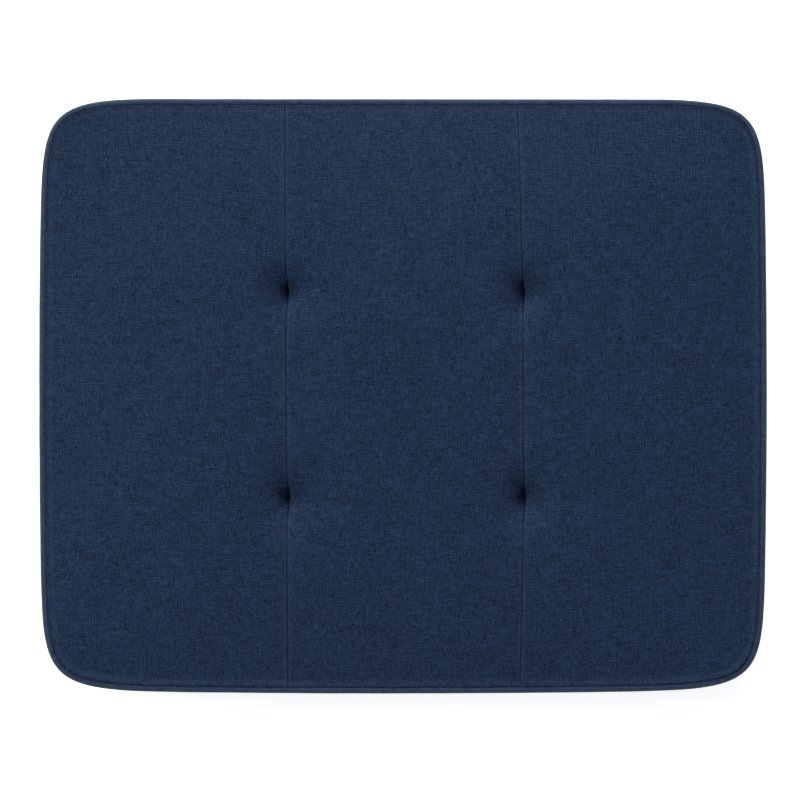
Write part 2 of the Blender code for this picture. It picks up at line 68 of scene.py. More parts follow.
# %% [markdown]
# ## Colours, nodes and meshes
# Small helpers serve the whole lesson. One turns an sRGB hex colour to the linear numbers that
# shaders use, and one adds a shader node with its settings and links. One makes a piece from
# points and faces, and stores each point's place on the uncut cloth, so that a weave follows
# the fabric's own grain round every fold.

# %% Colour helper
def colour(hex_code):
    """Linear RGBA of an sRGB hex colour."""
    parts = [int(hex_code[start : start + 2], 16) / 255 for start in (1, 3, 5)]
    linear = [c / 12.92 if c <= 0.04045 else ((c + 0.055) / 1.055) ** 2.4 for c in parts]
    return (*linear, 1.0)


print("mid grey is", round(colour("#808080")[0], 3), "in linear light")


# %% Node helper
def add(tree, kind, inputs=None, ramp=(), **settings):
    """Add one node. An input is a number, a node, or (node, name of its output)."""
    node = tree.nodes.new("ShaderNode" + kind)
    for name, value in settings.items():
        setattr(node, name, value)
    for stop, hex_code in enumerate(ramp):
        node.color_ramp.elements[stop].color = colour(hex_code)
    for socket, value in (inputs or {}).items():
        if isinstance(value, bpy.types.Node):
            value = (value, 0)
        if isinstance(value, tuple) and isinstance(value[0], bpy.types.Node):
            tree.links.new(value[0].outputs[value[1]], node.inputs[socket])
        else:
            node.inputs[socket].default_value = value
    return node


def new_material(name):
    """An empty material with its output node, and the tree to fill."""
    material = bpy.data.materials.new(name)
    material.use_nodes = True
    tree = material.node_tree
    tree.nodes.clear()
    return material, tree


def speckled(name, ramp, noise, relief, finish, stretch=None, on_cloth=True):
    """A material whose one noise tints it between two colours and gives it a fine relief."""
    material, tree = new_material(name)
    if on_cloth:
        place = (add(tree, "Attribute", attribute_name="cloth"), "Vector")
    else:
        place = (add(tree, "TexCoord"), "Object")
    if stretch:
        place = add(tree, "VectorMath", {0: place, 1: stretch}, operation="MULTIPLY")
    speck = add(tree, "TexNoise", {"Vector": place, **noise})
    tint = add(tree, "ValToRGB", {0: speck}, ramp=ramp)
    bump = add(tree, "Bump", {"Height": speck, "Distance": relief[0], "Strength": relief[1]})
    shader = add(tree, "BsdfPrincipled", {"Base Color": tint, "Normal": bump, **finish})
    add(tree, "OutputMaterial", {"Surface": shader})
    return material


# %% Mesh helpers
def grid_faces(rows, columns, close_rows=False, close_columns=False):
    """Four-cornered faces of a grid of points stored row by row."""
    down = np.arange(rows if close_rows else rows - 1)
    along = np.arange(columns if close_columns else columns - 1)
    row, column = np.meshgrid(down, along, indexing="ij")
    next_row, next_column = (row + 1) % rows, (column + 1) % columns
    corners = (
        row * columns + column,
        row * columns + next_column,
        next_row * columns + next_column,
        next_row * columns + column,
    )
    return np.stack(corners, -1).reshape(-1, 4)


def raised(plan, height):
    """Points over a plan, all at one height or each at its own."""
    return np.concatenate([plan, np.broadcast_to(height, plan.shape[:-1])[..., None]], -1)


def spread(x, y, z):
    """Points from arrays or numbers that are first spread to one shape."""
    return np.stack(np.broadcast_arrays(x, y, z), -1)


def make_piece(name, points, faces, material, cloth=None, wear_and_highlight=None):
    """A smooth mesh object. cloth is each point's place on the uncut fabric, in metres."""
    mesh = bpy.data.meshes.new(name)
    points = np.asarray(points, float).reshape(-1, 3)
    mesh.from_pydata(points.tolist(), [], faces.tolist() if hasattr(faces, "tolist") else faces)
    cloth = points if cloth is None else np.asarray(cloth, float).reshape(-1, 3)
    place = mesh.attributes.new("cloth", "FLOAT_VECTOR", "POINT")
    place.data.foreach_set("vector", cloth.astype(np.float32).ravel())
    # This attribute marks paler crests: rubbing wear, and on the piping partly a painted
    # highlight.
    pale_patches = mesh.attributes.new("wear_and_highlight", "FLOAT", "POINT")
    if wear_and_highlight is not None:
        pale_patches.data.foreach_set("value", np.asarray(wear_and_highlight, np.float32).ravel())
    mesh.materials.append(material)
    mesh.validate()
    mesh.shade_smooth()
    piece = bpy.data.objects.new(name, mesh)
    bpy.context.scene.collection.objects.link(piece)
    return piece


def thicken(piece, thickness, offset=-1.0):
    """Give a single layer of cloth its thickness."""
    wall = piece.modifiers.new("cloth_thickness", "SOLIDIFY")
    wall.thickness = thickness
    wall.offset = offset
    return piece


def seat(piece, body, slot, *nodes):
    """Ride the piece on its body and let it stand for its CAD nodes; slot, the finish's name, is
    not used.
    """
    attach(piece, body)
    if nodes:
        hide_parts(*nodes)
    return piece


# %% [markdown]
# ## Seen from above
# The camera comes first, because everything else is judged through it. It looks down from
# three metres with a long lens, as for a catalogue picture of a flat thing. It stands a few
# centimetres to the left of the middle and behind it, so a little of the left side shows.

# %% Camera
CAMERA_HEIGHT = 3.1
CAMERA_LEFT = 0.045
CAMERA_BACK = 0.020
VIEW_WIDTH = 0.614
AIM_SHIFT = 0.0027
AIM_DROP = 0.014
SENSOR_WIDTH = 36
middle = (cad_low + cad_high) / 2
aim = Vector((middle.x - AIM_SHIFT, middle.y - AIM_SHIFT, cad_high.z - AIM_DROP))
camera_data = bpy.data.cameras.new("camera")
camera = bpy.data.objects.new("camera", camera_data)
bpy.context.scene.collection.objects.link(camera)
camera.location = Vector((aim.x - CAMERA_LEFT, aim.y + CAMERA_BACK, CAMERA_HEIGHT))
camera_data.sensor_width = SENSOR_WIDTH
camera_data.lens = SENSOR_WIDTH * (camera.location - aim).length / VIEW_WIDTH
camera_data.clip_end = 60
looking = (aim - camera.location).normalized()
right = looking.cross(Vector((0, 1, 0))).normalized()
axes = Matrix((right, right.cross(looking), -looking)).transposed()
camera.rotation_mode = "QUATERNION"
camera.rotation_quaternion = axes.to_quaternion()
bpy.context.scene.camera = camera
print("lens:", round(camera_data.lens), "mm")

# %% [markdown]
# ## The outline that everything follows
# The cushion is a rectangle with full, tight corners, whose sides bow out by 3 mm. A
# superellipse draws it in one formula: the higher its power, the squarer its corners. Every
# ring of the cushion, from foam to piping, is that line moved in by an even distance.

# %% Sizes that the CAD fixes, in metres
CUSHION_WIDTH = 0.559
CUSHION_DEPTH = 0.457
CORNER_POWER = 12
SIDE_BOW = 0.003
FRONT_BOW = 0.003
HALF_X = CUSHION_WIDTH / 2 - SIDE_BOW
HALF_Y = (CUSHION_DEPTH - FRONT_BOW) / 2
MIDDLE_Y = FRONT_BOW / 2
OPENING = 0.200
BACK_LINE = MIDDLE_Y + HALF_Y * (1 - (OPENING / HALF_X) ** CORNER_POWER) ** (1 / CORNER_POWER)
FABRIC = 0.0012
welt_low, welt_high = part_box("top_welt_cover")
WELT_RADIUS = (welt_high.z - welt_low.z) / 2
TOP_WELT_Z = (welt_high.z + welt_low.z) / 2
BOTTOM_WELT_Z = sum(corner.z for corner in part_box("bottom_welt_cover")) / 2
BOXING_LOW, BOXING_HIGH = (corner.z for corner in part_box("boxing_band"))
print("piping", round(2000 * WELT_RADIUS, 1), "mm thick, back line at", round(BACK_LINE, 4))


# %% Outline helper
def ring_shares(steps):
    """Evenly spread (across, along) shares round the outline, from the middle of the right."""
    turn = 2 ** (-1 / CORNER_POWER)
    rise = np.linspace(0, turn, steps + 1)
    fall = (1 - rise**CORNER_POWER) ** (1 / CORNER_POWER)
    first = np.stack([fall, rise], 1)[:-1]
    second = np.stack([rise, fall], 1)[::-1][:-1]
    quarter = np.concatenate([first, second])
    ring = [quarter]
    for _ in range(3):
        ring.append(np.stack([-ring[-1][:, 1], ring[-1][:, 0]], 1))
    return np.concatenate(ring)


def outward_of(line):
    """Outward directions along a closed line that runs anticlockwise."""
    ahead = np.roll(line, -1, 0) - np.roll(line, 1, 0)
    outward = np.stack([ahead[:, 1], -ahead[:, 0]], 1)
    return outward / np.linalg.norm(outward, axis=1)[:, None]


def outline(inset, steps=700):
    """Points round the outline, an even distance inside it, and their outward directions."""
    across, along = ring_shares(steps).T
    x = across * (HALF_X + SIDE_BOW * (1 - along**2))
    y = along * HALF_Y + np.minimum(along, 0) * FRONT_BOW * (1 - across**2) + MIDDLE_Y
    points = np.stack([x, np.minimum(y, BACK_LINE)], 1)
    outward = outward_of(points)
    return points - outward * inset, outward


def reach_along(line):
    """Each point's distance from the first one, measured along the line."""
    return np.concatenate([[0], np.cumsum(np.linalg.norm(np.diff(line, axis=0), axis=1))])


def even_spread(points, extra, count, closed=True):
    """The line again with count points an even distance apart; extra goes along with it."""
    if closed:
        points = np.concatenate([points, points[:1]])
        extra = np.concatenate([extra, extra[:1]])
    reach = reach_along(points)
    wanted = np.linspace(0, reach[-1], count + 1 if closed else count)
    wanted = wanted[:-1] if closed else wanted
    line = np.stack([np.interp(wanted, reach, column) for column in points.T], 1)
    more = np.stack([np.interp(wanted, reach, column) for column in extra.T], 1)
    return line, more, wanted


edge_line, _ = outline(0)
edge_length = np.linalg.norm(np.roll(edge_line, -1, 0) - edge_line, axis=1).sum()
print("once round the edge:", round(edge_length, 3), "m")

# %% [markdown]
# ## Cloth that looks woven
# The cover is a plain weave of spun, slubby polyester in navy, as outdoor and dining chair
# cushions have. It is drawn coarser than real cloth: warp and weft cross every 1.15 mm. Each
# thread is a round hill across its own width, and rises and sinks as it passes over and under
# its neighbours: the higher of the two threads is the one that shows. The low gaps between the
# threads are darkened with painted shade. The spun yarn is uneven, so stretched noise along
# each thread makes it lighter or darker for some millimetres. A short nap gives the cloth a
# weak sheen. Marked crests look paler: partly rubbing wear, and on the piping partly a painted
# highlight.

# %% Woven cloth
THREAD_PITCH = 0.00115
THREAD_LIFT = 0.8
SLUB_LENGTH = 0.005


def woven_cloth(name, dark, light, pitch, relief=0.00022, slub=SLUB_LENGTH):
    """Plain-weave cloth, by the flat place of each point in the attribute named cloth."""
    material, tree = new_material(name)
    flat = (add(tree, "Attribute", attribute_name="cloth"), "Vector")
    wander = add(tree, "TexNoise", {"Vector": flat, "Scale": 55.0, "Detail": 1.0})
    half = (0.5, 0.5, 0.5)
    centred = add(tree, "VectorMath", {0: (wander, "Color"), 1: half}, operation="SUBTRACT")
    small = add(tree, "VectorMath", {0: centred, "Scale": 0.0011}, operation="SCALE")
    place = add(tree, "VectorMath", {0: flat, 1: small}, operation="ADD")
    axes = add(tree, "SeparateXYZ", {0: place})
    wave, hill, top, slubs = {}, {}, {}, {}
    for way, axis in (("warp", "X"), ("weft", "Y")):
        over = add(tree, "Math", {0: (axes, axis), 1: math.pi / pitch}, operation="MULTIPLY")
        wave[way] = add(tree, "Math", {0: over}, operation="SINE")
        hill[way] = add(tree, "Math", {0: wave[way]}, operation="ABSOLUTE")
    both = add(tree, "Math", {0: wave["warp"], 1: wave["weft"]}, operation="MULTIPLY")
    turn_over = add(tree, "Math", {0: both}, operation="SIGN")
    across, along, through = 1.2 / pitch, 1 / slub, 1.1 / pitch
    for way, other, lift, stretch in (
        ("warp", "weft", THREAD_LIFT, (across, along, through)),
        ("weft", "warp", -THREAD_LIFT, (along, across, through)),
    ):
        over = add(tree, "Math", {0: turn_over, 1: hill[other]}, operation="MULTIPLY")
        top[way] = add(tree, "Math", {0: over, 1: lift, 2: hill[way]}, operation="MULTIPLY_ADD")
        spot = add(tree, "VectorMath", {0: place, 1: stretch}, operation="MULTIPLY")
        slubs[way] = add(tree, "TexNoise", {"Vector": spot, "Scale": 1.0, "Detail": 1.0})
    height = add(tree, "Math", {0: top["warp"], 1: top["weft"]}, operation="MAXIMUM")
    shows = add(tree, "Math", {0: top["warp"], 1: top["weft"]}, operation="GREATER_THAN")
    yarn = add(
        tree, "Mix", {"Factor": shows, "A": slubs["weft"], "B": slubs["warp"]}, data_type="FLOAT"
    )
    fleck = add(
        tree, "TexNoise", {"Vector": flat, "Scale": through, "Detail": 1.0, "Roughness": 0.7}
    )
    mixed = add(tree, "Mix", {"Factor": 0.3, "A": yarn, "B": fleck}, data_type="FLOAT")
    broad = add(tree, "TexNoise", {"Vector": flat, "Scale": 14.0, "Detail": 3.0})
    drift = add(tree, "Math", {0: broad, 1: 0.06, 2: -0.03}, operation="MULTIPLY_ADD")
    shade = add(tree, "Math", {0: mixed, 1: drift}, operation="ADD")
    threads = add(tree, "ValToRGB", {0: shade}, ramp=(dark, light))
    threads.color_ramp.elements[0].position = 0.31
    threads.color_ramp.elements[1].position = 0.74
    # Painted shade: the colour is darkened where the weave lies low, in the gaps between threads.
    painted_gap_shade = add(
        tree, "MapRange", {"Value": height, "From Min": 0.2, "From Max": 1.5, "To Min": 0.15}
    )
    threads_with_gap_shade = add(
        tree,
        "Mix",
        {"Factor": 1.0, "A": (threads, "Color"), "B": painted_gap_shade},
        data_type="RGBA",
        blend_type="MULTIPLY",
    )
    # Marked crests turn paler in patches: partly rubbing wear, and on the piping partly a painted
    # highlight.
    pale_patches = add(tree, "Attribute", attribute_name="wear_and_highlight")
    patchy = add(tree, "TexNoise", {"Vector": flat, "Scale": 220.0})
    wear_and_highlight_share = add(tree, "Math", {0: (pale_patches, "Fac"), 1: patchy}, operation="MULTIPLY")
    pale = colour("#5f7086")
    finish = add(tree, "Mix", {"Factor": wear_and_highlight_share, "A": (threads_with_gap_shade, 2), "B": pale}, data_type="RGBA")
    bump = add(tree, "Bump", {"Height": height, "Distance": relief, "Strength": 0.85})
    rough = add(
        tree, "MapRange", {"Value": height, "From Max": 1.6, "To Min": 0.98, "To Max": 0.84}
    )
    look = {
        "Base Color": (finish, 2),
        "Roughness": rough,
        "IOR": 1.5,
        "Specular IOR Level": 0.15,
        "Sheen Weight": 0.05,
        "Sheen Roughness": 0.5,
        "Sheen Tint": colour("#8ea0bd"),
        "Normal": bump,
    }
    add(tree, "OutputMaterial", {"Surface": add(tree, "BsdfPrincipled", look)})
    return material


navy_cloth = woven_cloth("navy_woven_polyester", "#0f1b36", "#3c5a84", THREAD_PITCH)
print("threads every", 1000 * THREAD_PITCH, "mm, slubs about", 1000 * SLUB_LENGTH, "mm long")

# %% [markdown]
# ## The top, settled as cloth
# The real top is three flat panels sewn edge to edge, stretched over fibre and foam and drawn
# down at four places. A bare formula gives the crown, the two valleys and the dimples, but no
# cloth lies that evenly. So a Cloth simulation settles it: the cloth starts on the formula's
# shape, is cut a little larger than the space it has, and a light pressure from below fills it.
# The piping line and the tufts hold it fast, and the padding under it holds it softly. The
# spare cloth then gathers into the creases that run out from each tuft.

# %% Height of the top by formula
EDGE_HEIGHT = 0.085
CROWN = 0.015
SEAM_X = 0.0915
SEAM_VALLEY = 0.0012
SEAM_REACH = 0.005
TUFT_Y = 0.0787
BOWL_DEPTH = 0.008
BOWL_REACH_X = 0.019
BOWL_REACH_Y = 0.019
PULL_DEPTH = 0.007
PULL_REACH_X = 0.0055
PULL_REACH_Y = 0.0085
# The panels end this far inside the outline, against the piping, where their edge swells up.
PANEL_INSET = 0.0048
EDGE_RISE = 0.0011
TUFTS = {
    "front_left": (-SEAM_X, -TUFT_Y),
    "front_right": (SEAM_X, -TUFT_Y),
    "back_left": (-SEAM_X, TUFT_Y),
    "back_right": (SEAM_X, TUFT_Y),
}


def crown_height(x, y):
    """Height of the crown with its two seam valleys."""
    across = np.minimum(np.abs(x) / (CUSHION_WIDTH / 2 - PANEL_INSET), 1)
    along = np.minimum(np.abs(y) / (CUSHION_DEPTH / 2 - PANEL_INSET), 1)
    fade = 1 - along**4
    valley = SEAM_VALLEY * fade * np.exp(-np.abs(np.abs(x) - SEAM_X) / SEAM_REACH)
    return EDGE_HEIGHT + CROWN * (1 - across**4) * fade - valley


def top_height(x, y):
    """Height of the cover's upper face: each tuft is a wide soft bowl round a steep pull."""
    height = crown_height(x, y)
    for tuft_x, tuft_y in TUFTS.values():
        bowl = ((x - tuft_x) / BOWL_REACH_X) ** 2 + ((y - tuft_y) / BOWL_REACH_Y) ** 2
        pull = np.hypot((x - tuft_x) / PULL_REACH_X, (y - tuft_y) / PULL_REACH_Y)
        height = height - BOWL_DEPTH * np.exp(-bowl) - PULL_DEPTH * np.exp(-pull)
    return height


print("top of the crown:", round(1000 * float(crown_height(0, 0)), 1), "mm")


# %% Seams that stray a little
TUFT_TUG = 0.0019


def seam_wander(x, y):
    """How far the cloth stands sideways of the pattern, because no long seam is sewn straight."""
    share = y / HALF_Y
    tug = sum(np.exp(-(((y - row * TUFT_Y) / 0.014) ** 2)) for row in (-1, 1)) * TUFT_TUG
    strays = {-SEAM_X: 0.0016 - 0.0012 * share, SEAM_X: -0.0010 * share - 0.0032 * share**2}
    total = 0
    for seam_x, stray in strays.items():
        near = np.clip(1 - np.abs(x - seam_x) / (2 * SEAM_X), 0, 1)
        total = total + (stray + tug) * near**2 * (3 - 2 * near)
    return total


print("left seam strays", round(1000 * float(seam_wander(-SEAM_X, 0)), 1), "mm at its middle")

# %% [markdown]
# A four-sided grid fills the rounded outline as a Coons patch does: each point is blended
# from the four edge lines, so the grid's last row lies exactly on the edge and the two seams
# are straight columns of it.


# %% Grid that fills the outline
def outline_grid(inset, columns, rows, seam=SEAM_X):
    """Plan of a panel grid. columns run -1.5 to 1.5, with the seams at -0.5 and 0.5."""
    line, _ = outline(inset)
    eighth = len(line) // 8
    back = line[eighth : 3 * eighth + 1][::-1]
    left = line[3 * eighth : 5 * eighth + 1][::-1]
    front = line[5 * eighth : 7 * eighth + 1]
    right = np.concatenate([line[7 * eighth :], line[: eighth + 1]])
    knots_front = [front[0, 0], -seam, seam, front[-1, 0]]
    knots_back = [back[0, 0], -seam, seam, back[-1, 0]]
    share = np.asarray(columns)[None, :]
    v = np.asarray(rows)[:, None]
    front_x = np.interp(share[0], [-1.5, -0.5, 0.5, 1.5], knots_front)
    back_x = np.interp(share[0], [-1.5, -0.5, 0.5, 1.5], knots_back)
    front_y = np.interp(front_x, front[:, 0], front[:, 1])
    back_y = np.interp(back_x, back[:, 0], back[:, 1])
    left_y = np.interp(v[:, 0], [0, 1], [left[0, 1], left[-1, 1]])
    right_y = np.interp(v[:, 0], [0, 1], [right[0, 1], right[-1, 1]])
    left_x = np.interp(left_y, left[:, 1], left[:, 0])
    right_x = np.interp(right_y, right[:, 1], right[:, 0])
    x = (1 - v) * front_x[None, :] + v * back_x[None, :]
    y = (1 - v) * front_y[None, :] + v * back_y[None, :]
    pull_left = np.clip(-0.5 - share, 0, 1)
    pull_right = np.clip(share - 0.5, 0, 1)
    straight_left = (1 - v) * front_x[0] + v * back_x[0]
    straight_right = (1 - v) * front_x[-1] + v * back_x[-1]
    x = x + pull_left * (left_x[:, None] - straight_left)
    x = x + pull_right * (right_x[:, None] - straight_right)
    level_left = (1 - v) * front_y[0] + v * back_y[0]
    level_right = (1 - v) * front_y[-1] + v * back_y[-1]
    y = y + pull_left * (left_y[:, None] - level_left)
    y = y + pull_right * (right_y[:, None] - level_right)
    return np.stack([x, y], -1)


CELL = 0.0042
side_cells = round((HALF_X - SEAM_X) / CELL)
middle_cells = round(2 * SEAM_X / CELL)
loose_columns = np.concatenate(
    [
        np.linspace(-1.5, -0.5, side_cells + 1)[:-1],
        np.linspace(-0.5, 0.5, middle_cells + 1)[:-1],
        np.linspace(0.5, 1.5, side_cells + 1),
    ]
)
loose_rows = np.linspace(0, 1, round(2 * HALF_Y / CELL) + 1)
plan = outline_grid(PANEL_INSET, loose_columns, loose_rows)
print("simulated grid:", plan.shape[1], "by", plan.shape[0], "points")


# %% Cloth simulation
def settle(grid, stretch, held, pressure, bending, frames=22, cap=0.006):
    """Let a grid of cloth, cut larger by stretch, settle from its start; held are its pins."""
    start = grid.reshape(-1, 3)
    mesh = bpy.data.meshes.new("settling")
    mesh.from_pydata(start.tolist(), [], grid_faces(*grid.shape[:2]).tolist())
    cloth = bpy.data.objects.new("settling", mesh)
    bpy.context.scene.collection.objects.link(cloth)
    cloth.shape_key_add(name="start")
    larger = cloth.shape_key_add(name="cut")
    larger.data.foreach_set("co", (start * stretch).astype(np.float32).ravel())
    group = cloth.vertex_groups.new(name="held")
    for index, weight in enumerate(held.ravel().tolist()):
        group.add([index], weight, "REPLACE")
    step = cloth.modifiers.new("cloth", "CLOTH")
    step.settings.quality = 6
    step.settings.mass = 0.25
    step.settings.tension_stiffness = 25
    step.settings.compression_stiffness = 12
    step.settings.shear_stiffness = 8
    step.settings.bending_stiffness = bending
    step.settings.air_damping = 2.0
    step.settings.use_pressure = True
    step.settings.uniform_pressure_force = pressure
    step.settings.effector_weights.gravity = 0
    step.settings.vertex_group_mass = "held"
    step.settings.pin_stiffness = 1.0
    step.settings.rest_shape_key = larger
    step.collision_settings.use_collision = False
    step.collision_settings.use_self_collision = False
    step.point_cache.frame_end = frames
    scene = bpy.context.scene
    for number in range(1, frames + 1):
        scene.frame_set(number)
    graph = bpy.context.evaluated_depsgraph_get()
    result = cloth.evaluated_get(graph).to_mesh()
    settled = np.zeros(len(start) * 3, np.float32)
    result.vertices.foreach_get("co", settled)
    moved = settled.reshape(-1, 3) - start
    scene.frame_set(1)
    bpy.data.objects.remove(cloth)
    bpy.data.meshes.remove(mesh)
    far = np.linalg.norm(moved, axis=1)
    moved *= np.minimum(1, cap / np.maximum(far, 1e-9))[:, None]
    print("cloth settled: moved up to", round(1000 * far.max(), 2), "mm")
    return moved.reshape(grid.shape)


# %% Settle the top
start = raised(plan, top_height(plan[..., 0], plan[..., 1]))
rim = np.zeros(plan.shape[:2])
rim[[0, -1], :] = 1
rim[:, [0, -1]] = 1
nearest_tuft = np.min([np.hypot(*(plan - spot).transpose(2, 0, 1)) for spot in TUFTS.values()], 0)
on_seam = np.abs(np.abs(plan[..., 0]) - SEAM_X) < CELL / 2
held = 0.03 + 0.25 * on_seam
held = np.maximum(held, np.clip(1.6 - nearest_tuft / 0.004, 0, 1))
held = np.maximum(held, rim)
shift = np.zeros(start.shape)
shift = settle(start, (1.010, 1.010, 1.0), held, pressure=0.5, bending=1.2)
print("share of the top that moved over half a millimetre:", end=" ")
print(round(float((np.linalg.norm(shift, axis=-1) > 0.0005).mean()), 2))

# %% [markdown]
# ## From the settled sheet to three panels
# The settled movement is carried over to a finer grid, with extra lines beside each seam and
# along the piping. There the cloth turns down in a tight round shoulder, as it does where a
# seam pulls it under, and a turned-down allowance closes the groove, so that no white filling
# shows. Each tuft also folds its seam into a short slit, a few millimetres wide.


# %% Finer grid
def between(values, old, new):
    """Smooth values of an even grid's rows at new places between them."""
    spot = (np.asarray(new) - old[0]) / (old[1] - old[0])
    base = np.clip(np.floor(spot).astype(int), 0, len(old) - 2)
    t = (spot - base).reshape((-1,) + (1,) * (values.ndim - 1))
    picks = [np.clip(base + step, 0, len(old) - 1) for step in (-1, 0, 1, 2)]
    a, b, c, d = (values[pick] for pick in picks)
    return b + 0.5 * t * (c - a + t * (2 * a - 5 * b + 4 * c - d + t * (3 * (b - c) + d - a)))


def lines_between(low, high, cell, gaps):
    """Even lines from 0 to 1 over a length, with closer ones at the given gaps from each end."""
    length = high - low
    near = np.array(gaps) / length
    count = round((length - 2 * gaps[-1]) / cell)
    inner = np.linspace(near[-1], 1 - near[-1], count + 1)[1:-1]
    return np.concatenate([[0], near, inner, 1 - near[::-1], [1]])


FINE_CELL = 0.0021
SHOULDER_GAPS = (0.0002, 0.0005, 0.0009, 0.0015, 0.0026)
fine_rows = lines_between(-HALF_Y + PANEL_INSET, HALF_Y - PANEL_INSET, FINE_CELL, SHOULDER_GAPS)
side_lines = lines_between(SEAM_X, HALF_X - PANEL_INSET, FINE_CELL, SHOULDER_GAPS)
middle_lines = lines_between(-SEAM_X, SEAM_X, FINE_CELL, SHOULDER_GAPS)
panel_columns = {
    "left": side_lines - 1.5,
    "centre": middle_lines - 0.5,
    "right": side_lines + 0.5,
}
shift_rows = between(shift, loose_rows, fine_rows)


def settled_shift(columns):
    """The simulated movement at the finer grid's places of one panel."""
    low, high = columns[0], columns[-1]
    inside = (loose_columns > low - 1e-6) & (loose_columns < high + 1e-6)
    return between(
        shift_rows[:, inside].transpose(1, 0, 2), loose_columns[inside], columns
    ).transpose(1, 0, 2)


# %% Turned edges and tuft slits
SHOULDER = 0.0007
SEAM_SHOULDER = 0.0007
SLIT_DEPTH = 0.0031
SLIT_HALF_LENGTH = 0.009
SLIT_HALF_WIDTH = 0.0020
CREASES = 9
border, border_outward = outline(PANEL_INSET)
border_tree = KDTree(len(border))
for index, (x, y) in enumerate(border):
    border_tree.insert((x, y, 0), index)
border_tree.balance()


def border_distance(plan):
    """How far each point of a plan is from the top panels' border."""
    found = [border_tree.find((*spot, 0))[2] for spot in plan.reshape(-1, 2)]
    return np.array(found).reshape(plan.shape[:2])


def round_over(distance, radius):
    """How far a round shoulder has dropped at a distance from its edge."""
    reach = np.clip(1 - distance / radius, 0, 1)
    return radius * (1 - np.sqrt(np.maximum(0, 1 - reach**2)))


def tuft_creases(x, y):
    """Small folds that run out from each tuft, deepest where the cloth is drawn in most."""
    draw = np.random.default_rng(29)
    depth = np.zeros(x.shape)
    for tuft_x, tuft_y in TUFTS.values():
        for share in range(CREASES):
            turn = 2 * math.pi * (share + draw.uniform(-0.35, 0.35)) / CREASES
            reach, deep = draw.uniform(0.012, 0.024), draw.uniform(0.0003, 0.0008)
            ahead = (x - tuft_x) * math.cos(turn) + (y - tuft_y) * math.sin(turn)
            aside = (y - tuft_y) * math.cos(turn) - (x - tuft_x) * math.sin(turn)
            along = np.clip(ahead / 0.006, 0, 1) * np.exp(-((ahead / reach) ** 2))
            depth += deep * along * np.exp(-((aside / (0.0018 + 0.06 * np.abs(ahead))) ** 2))
    return depth


def panel_surface(columns):
    """Points of one finished panel, its flat places and its paler crests."""
    flat = outline_grid(PANEL_INSET, columns, fine_rows)
    x, y = flat[..., 0], flat[..., 1]
    points = raised(flat, top_height(x, y)) + settled_shift(columns)
    to_border = border_distance(flat)
    to_seam = np.abs(np.abs(x) - SEAM_X)
    points[..., 2] -= round_over(to_border, SHOULDER) + 0.8 * round_over(to_seam, SEAM_SHOULDER)
    points[..., 2] += EDGE_RISE * np.exp(-((to_border / 0.003) ** 2)) - tuft_creases(x, y)
    for tuft_x, tuft_y in TUFTS.values():
        along = np.exp(-(((y - tuft_y) / SLIT_HALF_LENGTH) ** 2))
        points[..., 2] -= SLIT_DEPTH * along * np.exp(-np.abs(x - tuft_x) / SLIT_HALF_WIDTH)
    points[..., 0] += seam_wander(x, y)
    # Crests beside the piping and beside the seams are marked to look paler.
    crest = np.exp(-(((to_border - 0.0035) / 0.002) ** 2)) * 0.20
    crest += np.exp(-(((to_seam - 0.0016) / 0.001) ** 2)) * 0.16
    return points, flat, crest


def turned_down(array, side, drops, pulls=(0, 0, 0)):
    """Add lines beyond one edge of a grid that go down, and pull in from the piping."""
    edge = {"low": array[:, :1], "high": array[:, -1:]}[side]
    nearest = [border_tree.find((x, y, 0))[1] for x, y in edge[:, 0, :2]]
    away = raised(border_outward[nearest], 0)[:, None]
    added = [edge - away * pull - (0, 0, drop) for drop, pull in zip(drops, pulls)]
    pieces = added[::-1] + [array] if side == "low" else [array] + added
    return np.concatenate(pieces, 1)


def turned_layers(layers, side, *turn):
    """Turn a panel's points down; its flat places and crest marks are only repeated there."""
    repeated = [turned_down(layer, side, (0, 0, 0)) for layer in layers[1:]]
    return [turned_down(layers[0], side, *turn), *repeated]


# %% Three top panels
ALLOWANCE = (0.0010, 0.0022, 0.0036)
TURN_DOWN = (0.0003, 0.0006, 0.0009)
TURN_IN = (0.00025, 0.0005, 0.00065)
HALF_GAP = 0.00008
top_points = {}
for number, (side, columns) in enumerate(panel_columns.items()):
    points, flat, crest = panel_surface(columns)
    if side in ("left", "centre"):
        points[:, -1, 0] -= HALF_GAP
    if side in ("centre", "right"):
        points[:, 0, 0] += HALF_GAP
    top_points[side] = points
    # Each panel is cut elsewhere from the bolt, so that no slub runs on across a seam.
    bolt = (100 * number + 0.4) * THREAD_PITCH / 1.1
    layers = [points, raised(flat, bolt), crest[..., None] * (1, 1, 1)]
    for end in ("low", "high"):
        at_border = (side, end) in (("left", "low"), ("right", "high"))
        turn = (TURN_DOWN, TURN_IN) if at_border else (ALLOWANCE,)
        layers = turned_layers(layers, end, *turn)
    layers = [layer.transpose(1, 0, 2) for layer in layers]
    for end in ("low", "high"):
        layers = turned_layers(layers, end, TURN_DOWN, TURN_IN)
    wide, cloth, pale_patches = (layer.transpose(1, 0, 2) for layer in layers)
    faces = grid_faces(*wide.shape[:2])
    panel = make_piece(f"cover_top_{side}", wide, faces, navy_cloth, cloth, pale_patches[..., 0])
    thicken(panel, FABRIC)
    seat(panel, "cushion", "cover_fabric", f"top_panel_{side}")

# %% [markdown]
# ## Piping
# Piping is a strip of the same cloth, cut on the bias, folded round a cotton cord and caught
# in the edge seam. Cut on the bias it bends round corners without creasing, and its weave
# runs slantwise. Each ring here is the open section of that strip, swept along the outline:
# round the cord, and back into the seam as two flat allowances. A slow, uneven swelling of
# a tenth of a millimetre or two keeps it from looking like a turned rod.

